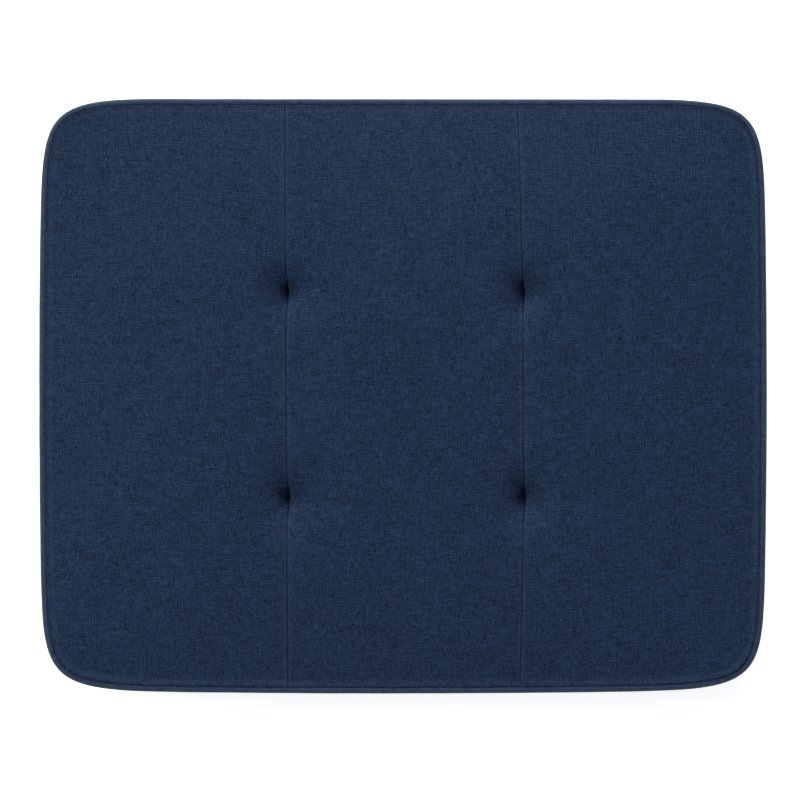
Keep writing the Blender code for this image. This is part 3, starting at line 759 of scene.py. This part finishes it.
# %% Swept sections
def slow_waves(places, length, seed, shortest=0.03):
    """Smooth random waves along a closed line, between -1 and 1."""
    random = np.random.default_rng(seed)
    waves = np.zeros(len(places))
    most = int(length / shortest)
    for count in random.choice(np.arange(3, most), 14, replace=False):
        turns = 2 * math.pi * (count * places / length)
        waves += random.normal() * np.sin(turns + 6.3 * random.random())
    return waves / np.abs(waves).max()


def strip_section(radius, wall, allowance, steps=18):
    """Closed outline of a folded strip, as (outward, up, distance along the strip)."""
    slit = math.asin((wall + 0.0001) / radius)
    turns = np.linspace(math.pi - slit, slit - math.pi, steps)
    middle_radius = radius - wall / 2
    loop = np.stack([middle_radius * np.cos(turns), middle_radius * np.sin(turns)], 1)
    tail = np.linspace(allowance, 0, 4)[:-1, None]
    upper = loop[:1] + tail * (-1, 0)
    lower = loop[-1:] + tail[::-1] * (-1, 0)
    line = np.concatenate([upper, loop, lower])
    ahead = np.gradient(line, axis=0)
    ahead /= np.linalg.norm(ahead, axis=1)[:, None]
    side = np.stack([-ahead[:, 1], ahead[:, 0]], 1) * wall / 2
    along = reach_along(line)
    ring = np.concatenate([line + side, (line - side)[::-1]])
    return ring, np.concatenate([along, along[::-1]]), along[-1]


def swept(line, outward, out, up):
    """Rings of points that stand out from each point of a line, at the heights in up."""
    return raised(line[:, None] + outward[:, None] * out[..., None], up)


# %% Two piping covers and their cords
cotton = speckled(
    "twisted_cotton_cord",
    ("#b9b2a0", "#e6e0d2"),
    {"Scale": 900.0, "Detail": 3.0},
    (0.0001, 0.6),
    {"Roughness": 0.92},
)
PIPING_WALL = 0.0008
PIPING_ALLOWANCE = 0.005
PIPING_STEP = 0.0023
CORD_RADIUS = WELT_RADIUS - PIPING_WALL - 0.0003
CORD_LAY = 0.012
SLANT = math.sqrt(0.5)
section, section_place, strip_width = strip_section(WELT_RADIUS, PIPING_WALL, PIPING_ALLOWANCE)
inward = np.where(section[:, 0] < -WELT_RADIUS, section[:, 0] + WELT_RADIUS, 0)
line, outward, arc = even_spread(*outline(WELT_RADIUS), round(edge_length / PIPING_STEP))
place = arc[:, None]
for level, height, seed in (("top", TOP_WELT_Z, 3), ("bottom", BOTTOM_WELT_Z, 8)):
    swell = 1 + 0.045 * slow_waves(arc, edge_length, seed)[:, None]
    lift = 0.0002 * slow_waves(arc, edge_length, seed + 1, 0.05)[:, None] * (level == "top")
    out = (section[:, 0] - inward) * swell + inward
    up = section[:, 1] * swell
    points = swept(line, outward, out, height + lift + up)
    cloth = spread(SLANT * (place + section_place), SLANT * (place - section_place), 0.5)
    # The piping's paler crest is partly rubbing wear and partly a painted highlight, brightest
    # over the upper half of the top piping, where the light falls.
    crest = np.clip(up / WELT_RADIUS, 0, 1) ** 2 * (level == "top") * 0.42
    crest = crest + np.clip(out / WELT_RADIUS - 0.3, 0, 1) * 0.9
    faces = grid_faces(*out.shape, close_rows=True, close_columns=True)
    piping = make_piece(f"piping_{level}", points, faces, navy_cloth, cloth, crest)
    seat(piping, "cushion", "cover_fabric", f"{level}_welt_cover")
    turns = np.linspace(0, 2 * math.pi, 18, endpoint=False)
    twist = 2 * math.pi * place / CORD_LAY
    bulge = CORD_RADIUS * (0.90 + 0.10 * np.abs(np.cos(1.5 * (turns - twist))))
    points = swept(line, outward, bulge * np.cos(turns), height + lift + bulge * np.sin(turns))
    faces = grid_faces(*bulge.shape, close_rows=True, close_columns=True)
    cord = make_piece(f"piping_cord_{level}", points, faces, cotton)
    seat(cord, "cushion", "piping_cord", f"{level}_welt_cord")
    print(piping.name, "strip", round(1000 * strip_width, 1), "mm wide")

# %% [markdown]
# ## Boxing
# The boxing is the upright band between the two rings of piping. Its filling pushes it out
# in the middle, and the two seams hold its edges in, so it bellies by about 2 mm. It is cut
# slightly long, so it settles as cloth too, and small puckers run in from the piping. Its
# edges turn in behind the piping and lean towards it, so that no filling shows there. At the
# back it stops at the zip's ends, where it is turned in against the zip strips.

# %% Band grid
BELLY = 0.0024
BAND_INSET = 0.0010
BAND_STEP = 0.0035
BAND_HEIGHT = BOXING_HIGH - BOXING_LOW
band_line, band_outward = outline(BAND_INSET)
at_back = (np.abs(band_line[:, 0]) < OPENING) & (band_line[:, 1] > 0)
first = int(np.flatnonzero(at_back)[-1]) + 1
order = (np.arange((~at_back).sum()) + first) % len(band_line)
band_line, band_outward = band_line[order], band_outward[order]
band_line[0, 0], band_line[-1, 0] = -OPENING, OPENING
band_outward[0] = band_outward[-1] = (0, 1)
band_length = reach_along(band_line)[-1]
band_points_along = round(band_length / BAND_STEP) + 1
band_line, band_outward, band_arc = even_spread(
    band_line, band_outward, band_points_along, closed=False
)
band_share = np.linspace(-1, 1, 25)
band_z = (BOXING_LOW + BOXING_HIGH) / 2 + band_share * BAND_HEIGHT / 2
to_end = np.minimum(band_arc, band_arc[-1] - band_arc)
belly_here = BELLY * (0.25 + 0.75 * np.clip(to_end / 0.03, 0, 1))
belly = (1 - band_share[:, None] ** 4) * belly_here
band_start = raised(band_line + band_outward * belly[..., None], band_z[:, None])
print("boxing band:", round(band_length, 3), "m long,", band_start.shape[1], "columns")

# %% Settle the band
band_held = np.full(belly.shape, 0.02)
band_held[[0, -1], :] = 1
band_held[:, [0, -1]] = 1
band_shift = np.zeros(band_start.shape)
band_shift = settle(band_start, 1.012, band_held, pressure=1.0, bending=0.8, cap=0.004)

# %% Finished band
BAND_GAPS = (0.00025, 0.0006, 0.0011, 0.0018, 0.0030)
BAND_SHOULDER = 0.0013
BAND_TURN_IN = np.array([0.0014, 0.0028, 0.0044])
BAND_LEAN = np.array([0.00015, 0.0007, 0.0011])
fine_share = lines_between(BOXING_LOW, BOXING_HIGH, 0.003, BAND_GAPS) * 2 - 1
band_points = between(band_start + band_shift, band_share, fine_share)
height_here = (fine_share + 1) / 2 * BAND_HEIGHT
to_seam = np.minimum(height_here, height_here[::-1])
band_points[..., :2] -= band_outward * round_over(to_seam, BAND_SHOULDER)[:, None, None]
band_points[..., :2] -= band_outward * round_over(to_end, BAND_SHOULDER)[:, None]
turn_in = raised(band_outward, 0) * BAND_TURN_IN[:, None, None]
lean = np.array([0, 0, 1.0]) * BAND_LEAN[:, None, None]
below = (band_points[:1] - turn_in - lean)[::-1]
above = band_points[-1:] - turn_in + lean
band_points = np.concatenate([below, band_points, above])
ends_in = [band_points[:, :1] - (0, depth, 0) for depth in BAND_TURN_IN[::-1]]
ends_out = [band_points[:, -1:] - (0, depth, 0) for depth in BAND_TURN_IN]
band_points = np.concatenate([*ends_in, band_points, *ends_out], 1)
flat_x = np.concatenate([-BAND_TURN_IN[::-1], band_arc, band_arc[-1] + BAND_TURN_IN])
flat_z = np.concatenate([-BAND_TURN_IN[::-1], height_here, height_here[-1] + BAND_TURN_IN])
cloth = spread(flat_x, flat_z[:, None], 0.7)
rub = np.exp(-(((flat_z - 0.004) / 0.004) ** 2))[:, None] * 0.22 + 0 * flat_x
faces = grid_faces(*band_points.shape[:2])
band = make_piece("cover_boxing", band_points, faces, navy_cloth, cloth, rub)
thicken(band, FABRIC)
seat(band, "cushion", "cover_fabric", "boxing_band")

# %% [markdown]
# ## Zip strips
# Above and below the zip, a narrower strip of the cover's cloth closes the back. Each strip
# is turned back on itself beside the zip, so its visible edge is a fold, and a row of
# topstitching 2.5 mm from the fold holds the zip's tape behind it.

# %% Two turned strips
ZIP_Z = (BOXING_LOW + BOXING_HIGH) / 2
STRIP_X = OPENING - 0.0005
STRIP_BACK = 0.0016
TURNED_BACK = 0.0045
TURNED_WIDTH = 0.008
FOLD_ROUND = 0.0004
WINDOW_HALF = 0.006
fold_half = (TURNED_BACK - STRIP_BACK) / 2
x = np.linspace(-STRIP_X, STRIP_X, 150)
for side, name, outer in ((1, "upper", BOXING_HIGH), (-1, "lower", BOXING_LOW)):
    fold = ZIP_Z + side * (WINDOW_HALF + FABRIC / 2)
    tall = abs(outer - fold)
    places = [(outer, -STRIP_BACK - 0.0028), (outer, -STRIP_BACK - 0.0012)]
    for share in np.linspace(0, 0.94, 12):
        belly_out = 0.0006 * math.sin(math.pi * share)
        places.append((outer - side * share * tall, belly_out - STRIP_BACK))
    for bend in np.linspace(0, math.pi, 7)[1:-1]:
        bend_z = fold + side * FOLD_ROUND * (1 - math.sin(bend))
        places.append((bend_z, fold_half * math.cos(bend) - fold_half - STRIP_BACK))
    places += [(fold + side * share * TURNED_WIDTH, -TURNED_BACK) for share in (0.15, 0.5, 1.0)]
    step_along = reach_along(np.array(places))
    z, back = np.array(places).T[..., None]
    wave = 0.00018 * slow_waves(x + STRIP_X, 2 * STRIP_X, 20 + side, 0.012)
    fades = np.exp(-np.abs(z - fold) / 0.01)
    points = spread(x, BACK_LINE + back + 0.6 * fades * wave, z + fades * wave)
    cloth = spread(x, step_along[:, None], 0.9 + 0.1 * side)
    rub = np.exp(-np.abs(z - fold) / 0.0012) * 0.3 + 0 * x
    faces = grid_faces(*points.shape[:2])[:, ::-side]
    strip = make_piece(f"zip_strip_{name}", points, faces, navy_cloth, cloth, rub)
    thicken(strip, FABRIC, 0.0)
    seat(strip, "cushion", "cover_fabric", f"zip_placket_{name}")

# %% [markdown]
# ## Underside
# The bottom is one plain panel. It lies flat where the cushion rests, and lifts a little
# towards the piping, which it is sewn to all round.

# %% Bottom panel
BOTTOM_INSET = 0.0034
BOTTOM_CELL = 0.005
BOTTOM_GAPS = (0.001, 0.002, 0.0035, 0.006)
BOTTOM_LIFT = 0.0004
bottom_columns = lines_between(-HALF_X, HALF_X, BOTTOM_CELL, BOTTOM_GAPS) * 3 - 1.5
bottom_rows = lines_between(-HALF_Y, HALF_Y, BOTTOM_CELL, BOTTOM_GAPS)
flat = outline_grid(BOTTOM_INSET, bottom_columns, bottom_rows, HALF_X / 3)
beyond = np.maximum(np.abs(flat[..., 0]) / HALF_X, np.abs(flat[..., 1]) / HALF_Y) > 0.985
rise = np.clip(1 - border_distance(flat) / 0.012, 0, 1) ** 2
points = raised(flat, BOTTOM_LIFT * np.where(beyond, 1, rise))
faces = grid_faces(*flat.shape[:2])[:, ::-1]
under = make_piece("cover_bottom", points, faces, navy_cloth, raised(flat, 0.4))
thicken(under, FABRIC * 0.9)
seat(under, "cushion", "cover_fabric", "bottom_panel")

# %% [markdown]
# ## Filling
# Under the cover are a layer of polyester fibre, a block of polyurethane foam and a thin
# lower layer of fibre. They don't show while the zip is shut, but they are the cushion, so
# each is a soft closed form: it swells to the middle and rounds over at its rim.

# %% Foam and fibre materials
foam, tree = new_material("slabstock_polyurethane_foam")
flat = (add(tree, "Attribute", attribute_name="cloth"), "Vector")
cells = add(tree, "TexVoronoi", {"Vector": flat, "Scale": 900.0})
stain = add(tree, "TexNoise", {"Vector": flat, "Scale": 9.0, "Detail": 3.0})
tint = add(tree, "ValToRGB", {0: stain}, ramp=("#d9cfae", "#ece5cd"))
bump = add(tree, "Bump", {"Height": cells, "Distance": 0.0004, "Strength": 0.6})
shader = add(tree, "BsdfPrincipled", {"Base Color": tint, "Roughness": 0.95, "Normal": bump})
add(tree, "OutputMaterial", {"Surface": shader})

fibre = speckled(
    "carded_polyester_fibre",
    ("#cfcfcb", "#f2f2ef"),
    {"Scale": 1.0, "Detail": 5.0, "Distortion": 2.0},
    (0.0008, 0.7),
    {"Roughness": 0.9, "Sheen Weight": 0.3},
    stretch=(900.0, 110.0, 400.0),
)


# %% Filled forms
def rim_of(rows, columns):
    """Indices of a grid's outermost points, once round."""
    grid = np.arange(rows * columns).reshape(rows, columns)
    return np.concatenate([grid[0, :-1], grid[:-1, -1], grid[-1, :0:-1], grid[:0:-1, 0]])


def filled_form(name, flat, low, high, rounding, material):
    """A closed pad between two heights over a grid, with a rounded rim all round it."""
    rows, columns = flat.shape[:2]
    count = rows * columns
    roof, floor = raised(flat, high).reshape(-1, 3), raised(flat, low).reshape(-1, 3)
    loop = rim_of(rows, columns)
    outward = outward_of(roof[loop, :2])
    radius = np.minimum(rounding, (roof[loop, 2] - floor[loop, 2]) / 2)
    sides = []
    for turn in np.linspace(math.pi / 2, -math.pi / 2, 12)[1:-1]:
        base = roof[loop, 2] - radius if turn > 0 else floor[loop, 2] + radius
        ring = roof[loop, :2] + outward * (radius * math.cos(turn))[:, None]
        sides.append(raised(ring, base + radius * math.sin(turn)))
    points = np.concatenate([roof, floor, *sides])
    cells = grid_faces(rows, columns)
    faces = cells.tolist() + (cells[:, ::-1] + count).tolist()
    starts = [2 * count + len(loop) * step for step in range(len(sides))]
    rings = [loop, *(start + np.arange(len(loop)) for start in starts), loop + count]
    for upper, lower in zip(rings, rings[1:]):
        faces += np.stack([upper, lower, np.roll(lower, -1), np.roll(upper, -1)], 1).tolist()
    return make_piece(name, points, faces, material)


# %% Foam block, cut back behind the zip and pocketed for the tuft buttons
FOAM_INSET = 0.0072
NOTCH_DEPTH, NOTCH_HALF = 0.0060, 0.2110
POCKET_DEPTH, POCKET_RADIUS = 0.0065, 0.0145
foam_low, foam_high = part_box("foam_core")
flat = outline_grid(FOAM_INSET, loose_columns, loose_rows)
x, y = flat[..., 0], flat[..., 1]
notch = NOTCH_DEPTH / (1 + np.exp((np.abs(x) - NOTCH_HALF) / 0.0015))
flat[..., 1] = np.where(y > 0, y * (1 - notch / (BACK_LINE - FOAM_INSET)), y)
pockets = sum(
    POCKET_DEPTH * np.exp(-((np.hypot(x - spot[0], y - spot[1]) / POCKET_RADIUS) ** 6))
    for spot in TUFTS.values()
)
foam_block = filled_form("foam_block", flat, foam_low.z + pockets, foam_high.z, 0.004, foam)
seat(foam_block, "cushion", "foam", "foam_core")
print("foam block", round(1000 * (foam_high.z - foam_low.z)), "mm thick")

# %% Fibre above and below the foam
FIBRE_INSET = 0.0085
UNDER_COVER = 0.0022
UNDER_SEAM = 0.0042
UNDER_SLIT = 0.0030
flat = outline_grid(FIBRE_INSET, loose_columns, loose_rows)
x, y = flat[..., 0], flat[..., 1]
near_seam = np.exp(-((np.abs(np.abs(x) - SEAM_X) / 0.0055) ** 2))
loft = top_height(x, y) + shift[..., 2] - FABRIC - UNDER_COVER - UNDER_SEAM * near_seam
for tuft_x, tuft_y in TUFTS.values():
    slit = np.exp(-(((y - tuft_y) / 0.0095) ** 2) - ((x - tuft_x) / 0.004) ** 2)
    loft = loft - UNDER_SLIT * slit
loft = np.maximum(loft, foam_high.z + 0.0012)
flat[..., 0] += seam_wander(x, y)
wrap_top = filled_form("fibre_top", flat, foam_high.z + 0.0004, loft, 0.0020, fibre)
seat(wrap_top, "cushion", "fibre", "fibre_wrap_top")
wrap_low, wrap_high = (corner.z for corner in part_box("fibre_wrap_bottom"))
wrap_bottom = filled_form(
    "fibre_bottom", flat, wrap_low + 0.0002, wrap_high - 0.0002, 0.0022, fibre
)
seat(wrap_bottom, "cushion", "fibre", "fibre_wrap_bottom")
print("fibre up to", round(1000 * float(loft.max()), 1), "mm high")

# %% [markdown]
# ## Tufts
# A tuft is a loop of waxed twine. It is stitched over the seam, runs down through the foam
# and is tied off round a flat two-hole button under it, which pulls the seam down. From
# above only the bottom of the slit shows, with 6 mm of twine in it.

# %% Twine and its material
twine = speckled(
    "waxed_polyester_twine",
    ("#0a1222", "#1d2c48"),
    {"Scale": 1500.0, "Detail": 2.0},
    (0.00008, 0.5),
    {"Roughness": 0.55},
)


def tube(path, across, radius, around=10, closed=True, plies=0, lay=0.004):
    """A round or twisted strand along a path; across is one direction square to it."""
    ahead = np.roll(path, -1, 0) - np.roll(path, 1, 0)
    if not closed:
        ahead[0], ahead[-1] = path[1] - path[0], path[-1] - path[-2]
    ahead /= np.linalg.norm(ahead, axis=1)[:, None]
    sides = np.broadcast_to(across, path.shape)
    ups = np.cross(ahead, sides)
    turns = np.linspace(0, 2 * math.pi, around, endpoint=False)
    bulge = np.full((len(path), around), 1.0) * np.reshape(radius, (-1, 1))
    if plies:
        twist = 2 * math.pi * reach_along(path)[:, None] / lay
        bulge = bulge * (0.84 + 0.16 * np.abs(np.cos(plies / 2 * (turns - twist))))
    points = (
        path[:, None]
        + sides[:, None] * (bulge * np.cos(turns))[..., None]
        + ups[:, None] * (bulge * np.sin(turns))[..., None]
    )
    faces = grid_faces(len(path), around, close_rows=closed, close_columns=True).tolist()
    if not closed:
        faces.append(list(range(around)))
        faces.append(list(range((len(path) - 1) * around, len(path) * around))[::-1])
    return points.reshape(-1, 3), faces


# %% Four twine loops
TWINE_RADIUS = 0.0006
LOOP_HALF = 0.003
ACROSS = (1.0, 0, 0)
over = np.linspace(-LOOP_HALF, LOOP_HALF, 9)
under_turn = np.linspace(LOOP_HALF, -LOOP_HALF, 7)
y = np.concatenate([over, [LOOP_HALF] * 8, under_turn, [-LOOP_HALF] * 8])
for name, (tuft_x, tuft_y) in TUFTS.items():
    edge = top_points["centre"][:, 0 if tuft_x < 0 else -1]
    anchor_low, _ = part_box(f"tuft_anchor_{name}")
    surface = np.interp(tuft_y + over, edge[:, 1], edge[:, 2]) + TWINE_RADIUS + 0.0002
    low = anchor_low.z - TWINE_RADIUS - 0.0003
    down = np.linspace(surface[-1], low, 10)[1:-1]
    up = np.linspace(low, surface[0], 10)[1:-1]
    z = np.concatenate([surface, down, np.full(7, low), up])
    lean = seam_wander(tuft_x, tuft_y) * (z - low) / (surface.max() - low)
    path = np.stack([tuft_x + lean, tuft_y + y, z], 1)
    path = 0.5 * path + 0.25 * (np.roll(path, 1, 0) + np.roll(path, -1, 0))
    dense, _, _ = even_spread(path, path, 220)
    points, faces = tube(dense, ACROSS, TWINE_RADIUS, plies=2)
    loop = make_piece(f"tuft_loop_{name}", points, faces, twine)
    seat(loop, "cushion", "twine", f"tuft_twine_{name}")
print("twine top at", round(1000 * float(surface.max()), 1), "mm")

# %% Moulded tuft buttons
nylon = speckled(
    "moulded_black_nylon",
    ("#0d0d0f", "#1b1b1e"),
    {"Scale": 1800.0, "Detail": 2.0},
    (0.00004, 0.4),
    {"Roughness": 0.42, "IOR": 1.53},
    on_cloth=False,
)


def dress_part(name, material, edge, segments):
    """Give a CAD part its material and soften its edges, without moving it."""
    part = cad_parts[name]
    part.data.materials.clear()
    part.data.materials.append(material)
    bevel = part.modifiers.new("soft_edges", "BEVEL")
    bevel.width = edge
    bevel.segments = segments
    bevel.limit_method = "ANGLE"


for name in TUFTS:
    dress_part(f"tuft_anchor_{name}", nylon, 0.0004, 2)
print("buttons:", len(TUFTS))

# %% [markdown]
# ## Zip
# A coil zip is two woven tapes, each with a nylon monofilament wound into a spiral and sewn
# along its edge. The loops of one side lie between the loops of the other. Bent metal stops
# close the ends, and the slider runs between them. Behind it hangs a guard, one plain layer of
# the cover's cloth, which keeps the filling out of the zip and out of sight.

# %% Zip materials
tape_cloth = woven_cloth("woven_zip_tape", "#0a1428", "#22344f", 0.0006, relief=0.0001, slub=0.02)
monofilament = speckled(
    "nylon_monofilament",
    ("#0e1a30", "#1c2d4b"),
    {"Scale": 700.0, "Detail": 2.0},
    (0.00003, 0.4),
    {"Roughness": 0.32, "IOR": 1.53},
)
thread = speckled(
    "spun_sewing_thread",
    ("#1a2a45", "#44597a"),
    {"Scale": 2500.0, "Detail": 1.0},
    (0.00005, 0.6),
    {"Roughness": 0.6, "Sheen Weight": 0.2},
)

zinc, tree = new_material("nickel_plated_die_cast_zinc")
place = (add(tree, "TexCoord"), "Object")
lengthwise = (900.0, 4000.0, 6000.0)
stretched = add(tree, "VectorMath", {0: place, 1: lengthwise}, operation="MULTIPLY")
brushed = add(tree, "TexNoise", {"Vector": stretched, "Scale": 1.0, "Detail": 2.0})
pale_patches = add(tree, "TexNoise", {"Vector": place, "Scale": 350.0, "Detail": 3.0})
tint = add(tree, "ValToRGB", {0: pale_patches}, ramp=("#77756f", "#aaa8a2"))
rough = add(tree, "MapRange", {"Value": brushed, "To Min": 0.22, "To Max": 0.46})
bump = add(tree, "Bump", {"Height": brushed, "Distance": 0.00002, "Strength": 0.35})
look = {"Base Color": tint, "Metallic": 1.0, "Roughness": rough, "Normal": bump}
add(tree, "OutputMaterial", {"Surface": add(tree, "BsdfPrincipled", look)})
print("zip materials:", tape_cloth.name, monofilament.name, thread.name, zinc.name)

# %% Tapes and coils
COIL_PITCH = 0.0015
FILAMENT = 0.00027
COIL_INNER, COIL_OUTER = -0.00025, 0.0030 - FILAMENT
TAPE = 0.00045
for side, name in ((1, "upper"), (-1, "lower")):
    low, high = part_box(f"zip_tape_{name}")
    x, z = np.meshgrid(np.linspace(low.x, high.x, 200), np.linspace(low.z, high.z, 9))
    ripple = 0.00006 * np.sin(x * 2 * math.pi / 0.021 + side) * np.abs(z - ZIP_Z) / 0.013
    points = spread(x, high.y - 0.00005 + ripple, z)
    faces = grid_faces(*x.shape)[:, ::-1]
    tape = make_piece(f"tape_{name}", points, faces, tape_cloth, spread(x, z, 2 + side))
    thicken(tape, TAPE)
    seat(tape, "cushion", "zip_tape", f"zip_tape_{name}")
    low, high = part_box(f"zip_coil_{name}")
    turns = int((high.x - low.x - 2 * FILAMENT) / COIL_PITCH)
    steps = 12 * turns + 1
    turn = np.linspace(0, 2 * math.pi * turns, steps) + (math.pi if side > 0 else 0)
    reach = (COIL_INNER + COIL_OUTER) / 2 + (COIL_OUTER - COIL_INNER) / 2 * np.cos(turn)
    depth = (high.y - low.y) / 2 - FILAMENT
    x = np.linspace(low.x + FILAMENT, high.x - FILAMENT, steps) + 0.00018 * np.sin(2 * turn)
    path = spread(x, (low.y + high.y) / 2 + depth * np.sin(turn), ZIP_Z + side * reach)
    points, faces = tube(path, ACROSS, FILAMENT, around=6, closed=False)
    coil = make_piece(f"coil_{name}", points, faces, monofilament)
    seat(coil, "cushion", "zip_coil", f"zip_coil_{name}")
    print(coil.name, "has", turns, "turns")

# %% Guard behind the zip
GUARD_Y = BACK_LINE - 0.0080
GUARD_PAST = 0.0085
GUARD_LOW, GUARD_HIGH = BOXING_LOW + 0.003, BOXING_HIGH - 0.010
guard_x = OPENING + GUARD_PAST
x, z = np.meshgrid(np.linspace(-guard_x, guard_x, 140), np.linspace(GUARD_LOW, GUARD_HIGH, 24))
ripple = 0.0003 * slow_waves(x[0] + 0.3, 0.6, 61, 0.02) * np.sin((z - GUARD_LOW) * 60)
points = spread(x, GUARD_Y - np.abs(ripple), z)
faces = grid_faces(*x.shape)[:, ::-1]
guard = make_piece("zip_guard", points, faces, navy_cloth, spread(x, z, 1.7))
thicken(guard, 0.0008)
seat(guard, "cushion", "cover_fabric")


# %% Sewing
def sew(name, starts, steps, radius=0.00022, sag=0.00018):
    """A row of short stitches that stand out of the back, each from a start along its step."""
    outwards = np.array([0, 1.0, 0])
    share = np.linspace(0, 1, 7)
    thick = radius * np.array([0.35, 0.85, 1, 1, 1, 0.85, 0.35])
    arch = np.outer(sag * (4 * share * (1 - share)) - 0.6 * sag, outwards)
    points, faces, count = [], [], 0
    for start, step in zip(starts, np.broadcast_to(steps, starts.shape)):
        path = start + share[:, None] * step + arch
        across = np.cross(step / np.linalg.norm(step), outwards)
        stitch_points, stitch_faces = tube(path, across, thick, around=6, closed=False)
        points.append(stitch_points)
        faces += [[index + count for index in face] for face in stitch_faces]
        count += len(stitch_points)
    row = make_piece(name, np.concatenate(points), faces, thread)
    seat(row, "cushion", "twine")


STITCH = 0.0030
STITCH_Y = BACK_LINE - STRIP_BACK + FABRIC / 2 + 0.0003
for side, name in ((1, "upper"), (-1, "lower")):
    x = np.arange(-STRIP_X + 0.004, STRIP_X - 0.004 - STITCH, STITCH)
    starts = spread(x, STITCH_Y, ZIP_Z + side * (WINDOW_HALF + 0.0028))
    sew(f"topstitching_{name}", starts, (STITCH * 0.82, 0, 0))
    low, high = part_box(f"zip_coil_{name}")
    x = np.arange(low.x + 0.0005, high.x - COIL_PITCH, COIL_PITCH)
    starts = spread(x, high.y + 0.00005, ZIP_Z + side * 0.0020)
    sew(f"coil_stitching_{name}", starts, (COIL_PITCH * 0.9, 0, 0), 0.00013, 0.00008)
    print("stitches in a row:", len(x))

# %% Bar tacks across the zip's ends
TACK_X = OPENING - 0.0030
zigzag = np.where(np.arange(34) % 2 == 0, -0.0009, 0.0009)
z = ZIP_Z + np.linspace(-1, 1, 34) * (WINDOW_HALF + 0.0016)
for end, name in ((-1, "left"), (1, "right")):
    corners = spread(end * TACK_X + zigzag, STITCH_Y, z)
    sew(f"bar_tack_{name}", corners[:-1], np.diff(corners, axis=0), 0.0002, 0.0001)
print("bar tacks at", round(1000 * TACK_X), "mm either side")

# %% [markdown]
# ## Slider, tab and stops
# These hard parts keep their CAD shapes, which a bevel softens as tumbling does to small
# castings. The metal is nickel-plated zinc, brighter and duller in random patches, with fine
# lines from tumbling.

# %% Metal parts
TUMBLED_EDGE = 0.00022
for name in ("slider", "pull_tab", "top_stop_upper", "top_stop_lower", "bottom_stop"):
    dress_part(f"zip_{name}", zinc, TUMBLED_EDGE, 3)
print("metal parts bevelled by", 1000 * TUMBLED_EDGE, "mm")

# %% [markdown]
# ## Light and floor
# A soft square light high on the left fills the left side of each dimple with shade. A weaker
# one low behind makes the cloth a little darker towards the front. A pale surrounding fills the
# rest. The floor is a pale sheet that is lit from beneath and curves up far out into a wall, as
# a studio's cove does, so the cushion's shadow on it stays faint from any side.

# %% Lights
scene = bpy.context.scene
scene.view_settings.view_transform = "Standard"
world = bpy.data.worlds.new("pale_surrounding")
world.use_nodes = True
surrounding = world.node_tree.nodes["Background"].inputs
surrounding["Color"].default_value = colour("#f3f5f8")
surrounding["Strength"].default_value = 0.11
scene.world = world
for name, place, side, power in (
    ("soft_key", (-3.8, 1.4, 4.2), 2.2, 168),
    ("low_back", (0.4, 3.2, 1.6), 1.6, 68),
):
    light_data = bpy.data.lights.new(name, "AREA")
    light_data.shape = "SQUARE"
    light_data.size = side
    light_data.energy = power
    light_data.color = colour("#fffaf2")[:3]
    light = bpy.data.objects.new(name, light_data)
    scene.collection.objects.link(light)
    light.location = place
    light.rotation_mode = "QUATERNION"
    light.rotation_quaternion = (middle - light.location).to_track_quat("-Z", "Y")
    print(name, round((middle - light.location).length, 1), "m away")

# %% Floor
backdrop, tree = new_material("back_lit_white_acrylic_sheet")
speck = add(tree, "TexNoise", {"Scale": 3.0, "Detail": 2.0})
tint = add(tree, "ValToRGB", {0: speck}, ramp=("#f4f4f2", "#fbfbfa"))
look = {
    "Base Color": tint,
    "Roughness": 0.7,
    "Specular IOR Level": 0.2,
    "Emission Color": colour("#ffffff"),
    "Emission Strength": 0.80,
}
add(tree, "OutputMaterial", {"Surface": add(tree, "BsdfPrincipled", look)})
SPOKES = 96
turns = np.linspace(0, 2 * math.pi, SPOKES, endpoint=False)
bend = np.linspace(0, math.pi / 2, 9)
cove = [(0.05, 0), (1, 0), *np.column_stack([8 + 2 * np.sin(bend), 2 - 2 * np.cos(bend)]), (10, 3)]
rings = [spread(r * np.cos(turns), r * np.sin(turns), rise - 0.0002) for r, rise in cove]
faces = grid_faces(len(cove), SPOKES, close_columns=True).tolist() + [list(range(SPOKES))[::-1]]
floor_sheet = make_piece("floor_sheet", np.concatenate(rings), faces, backdrop)
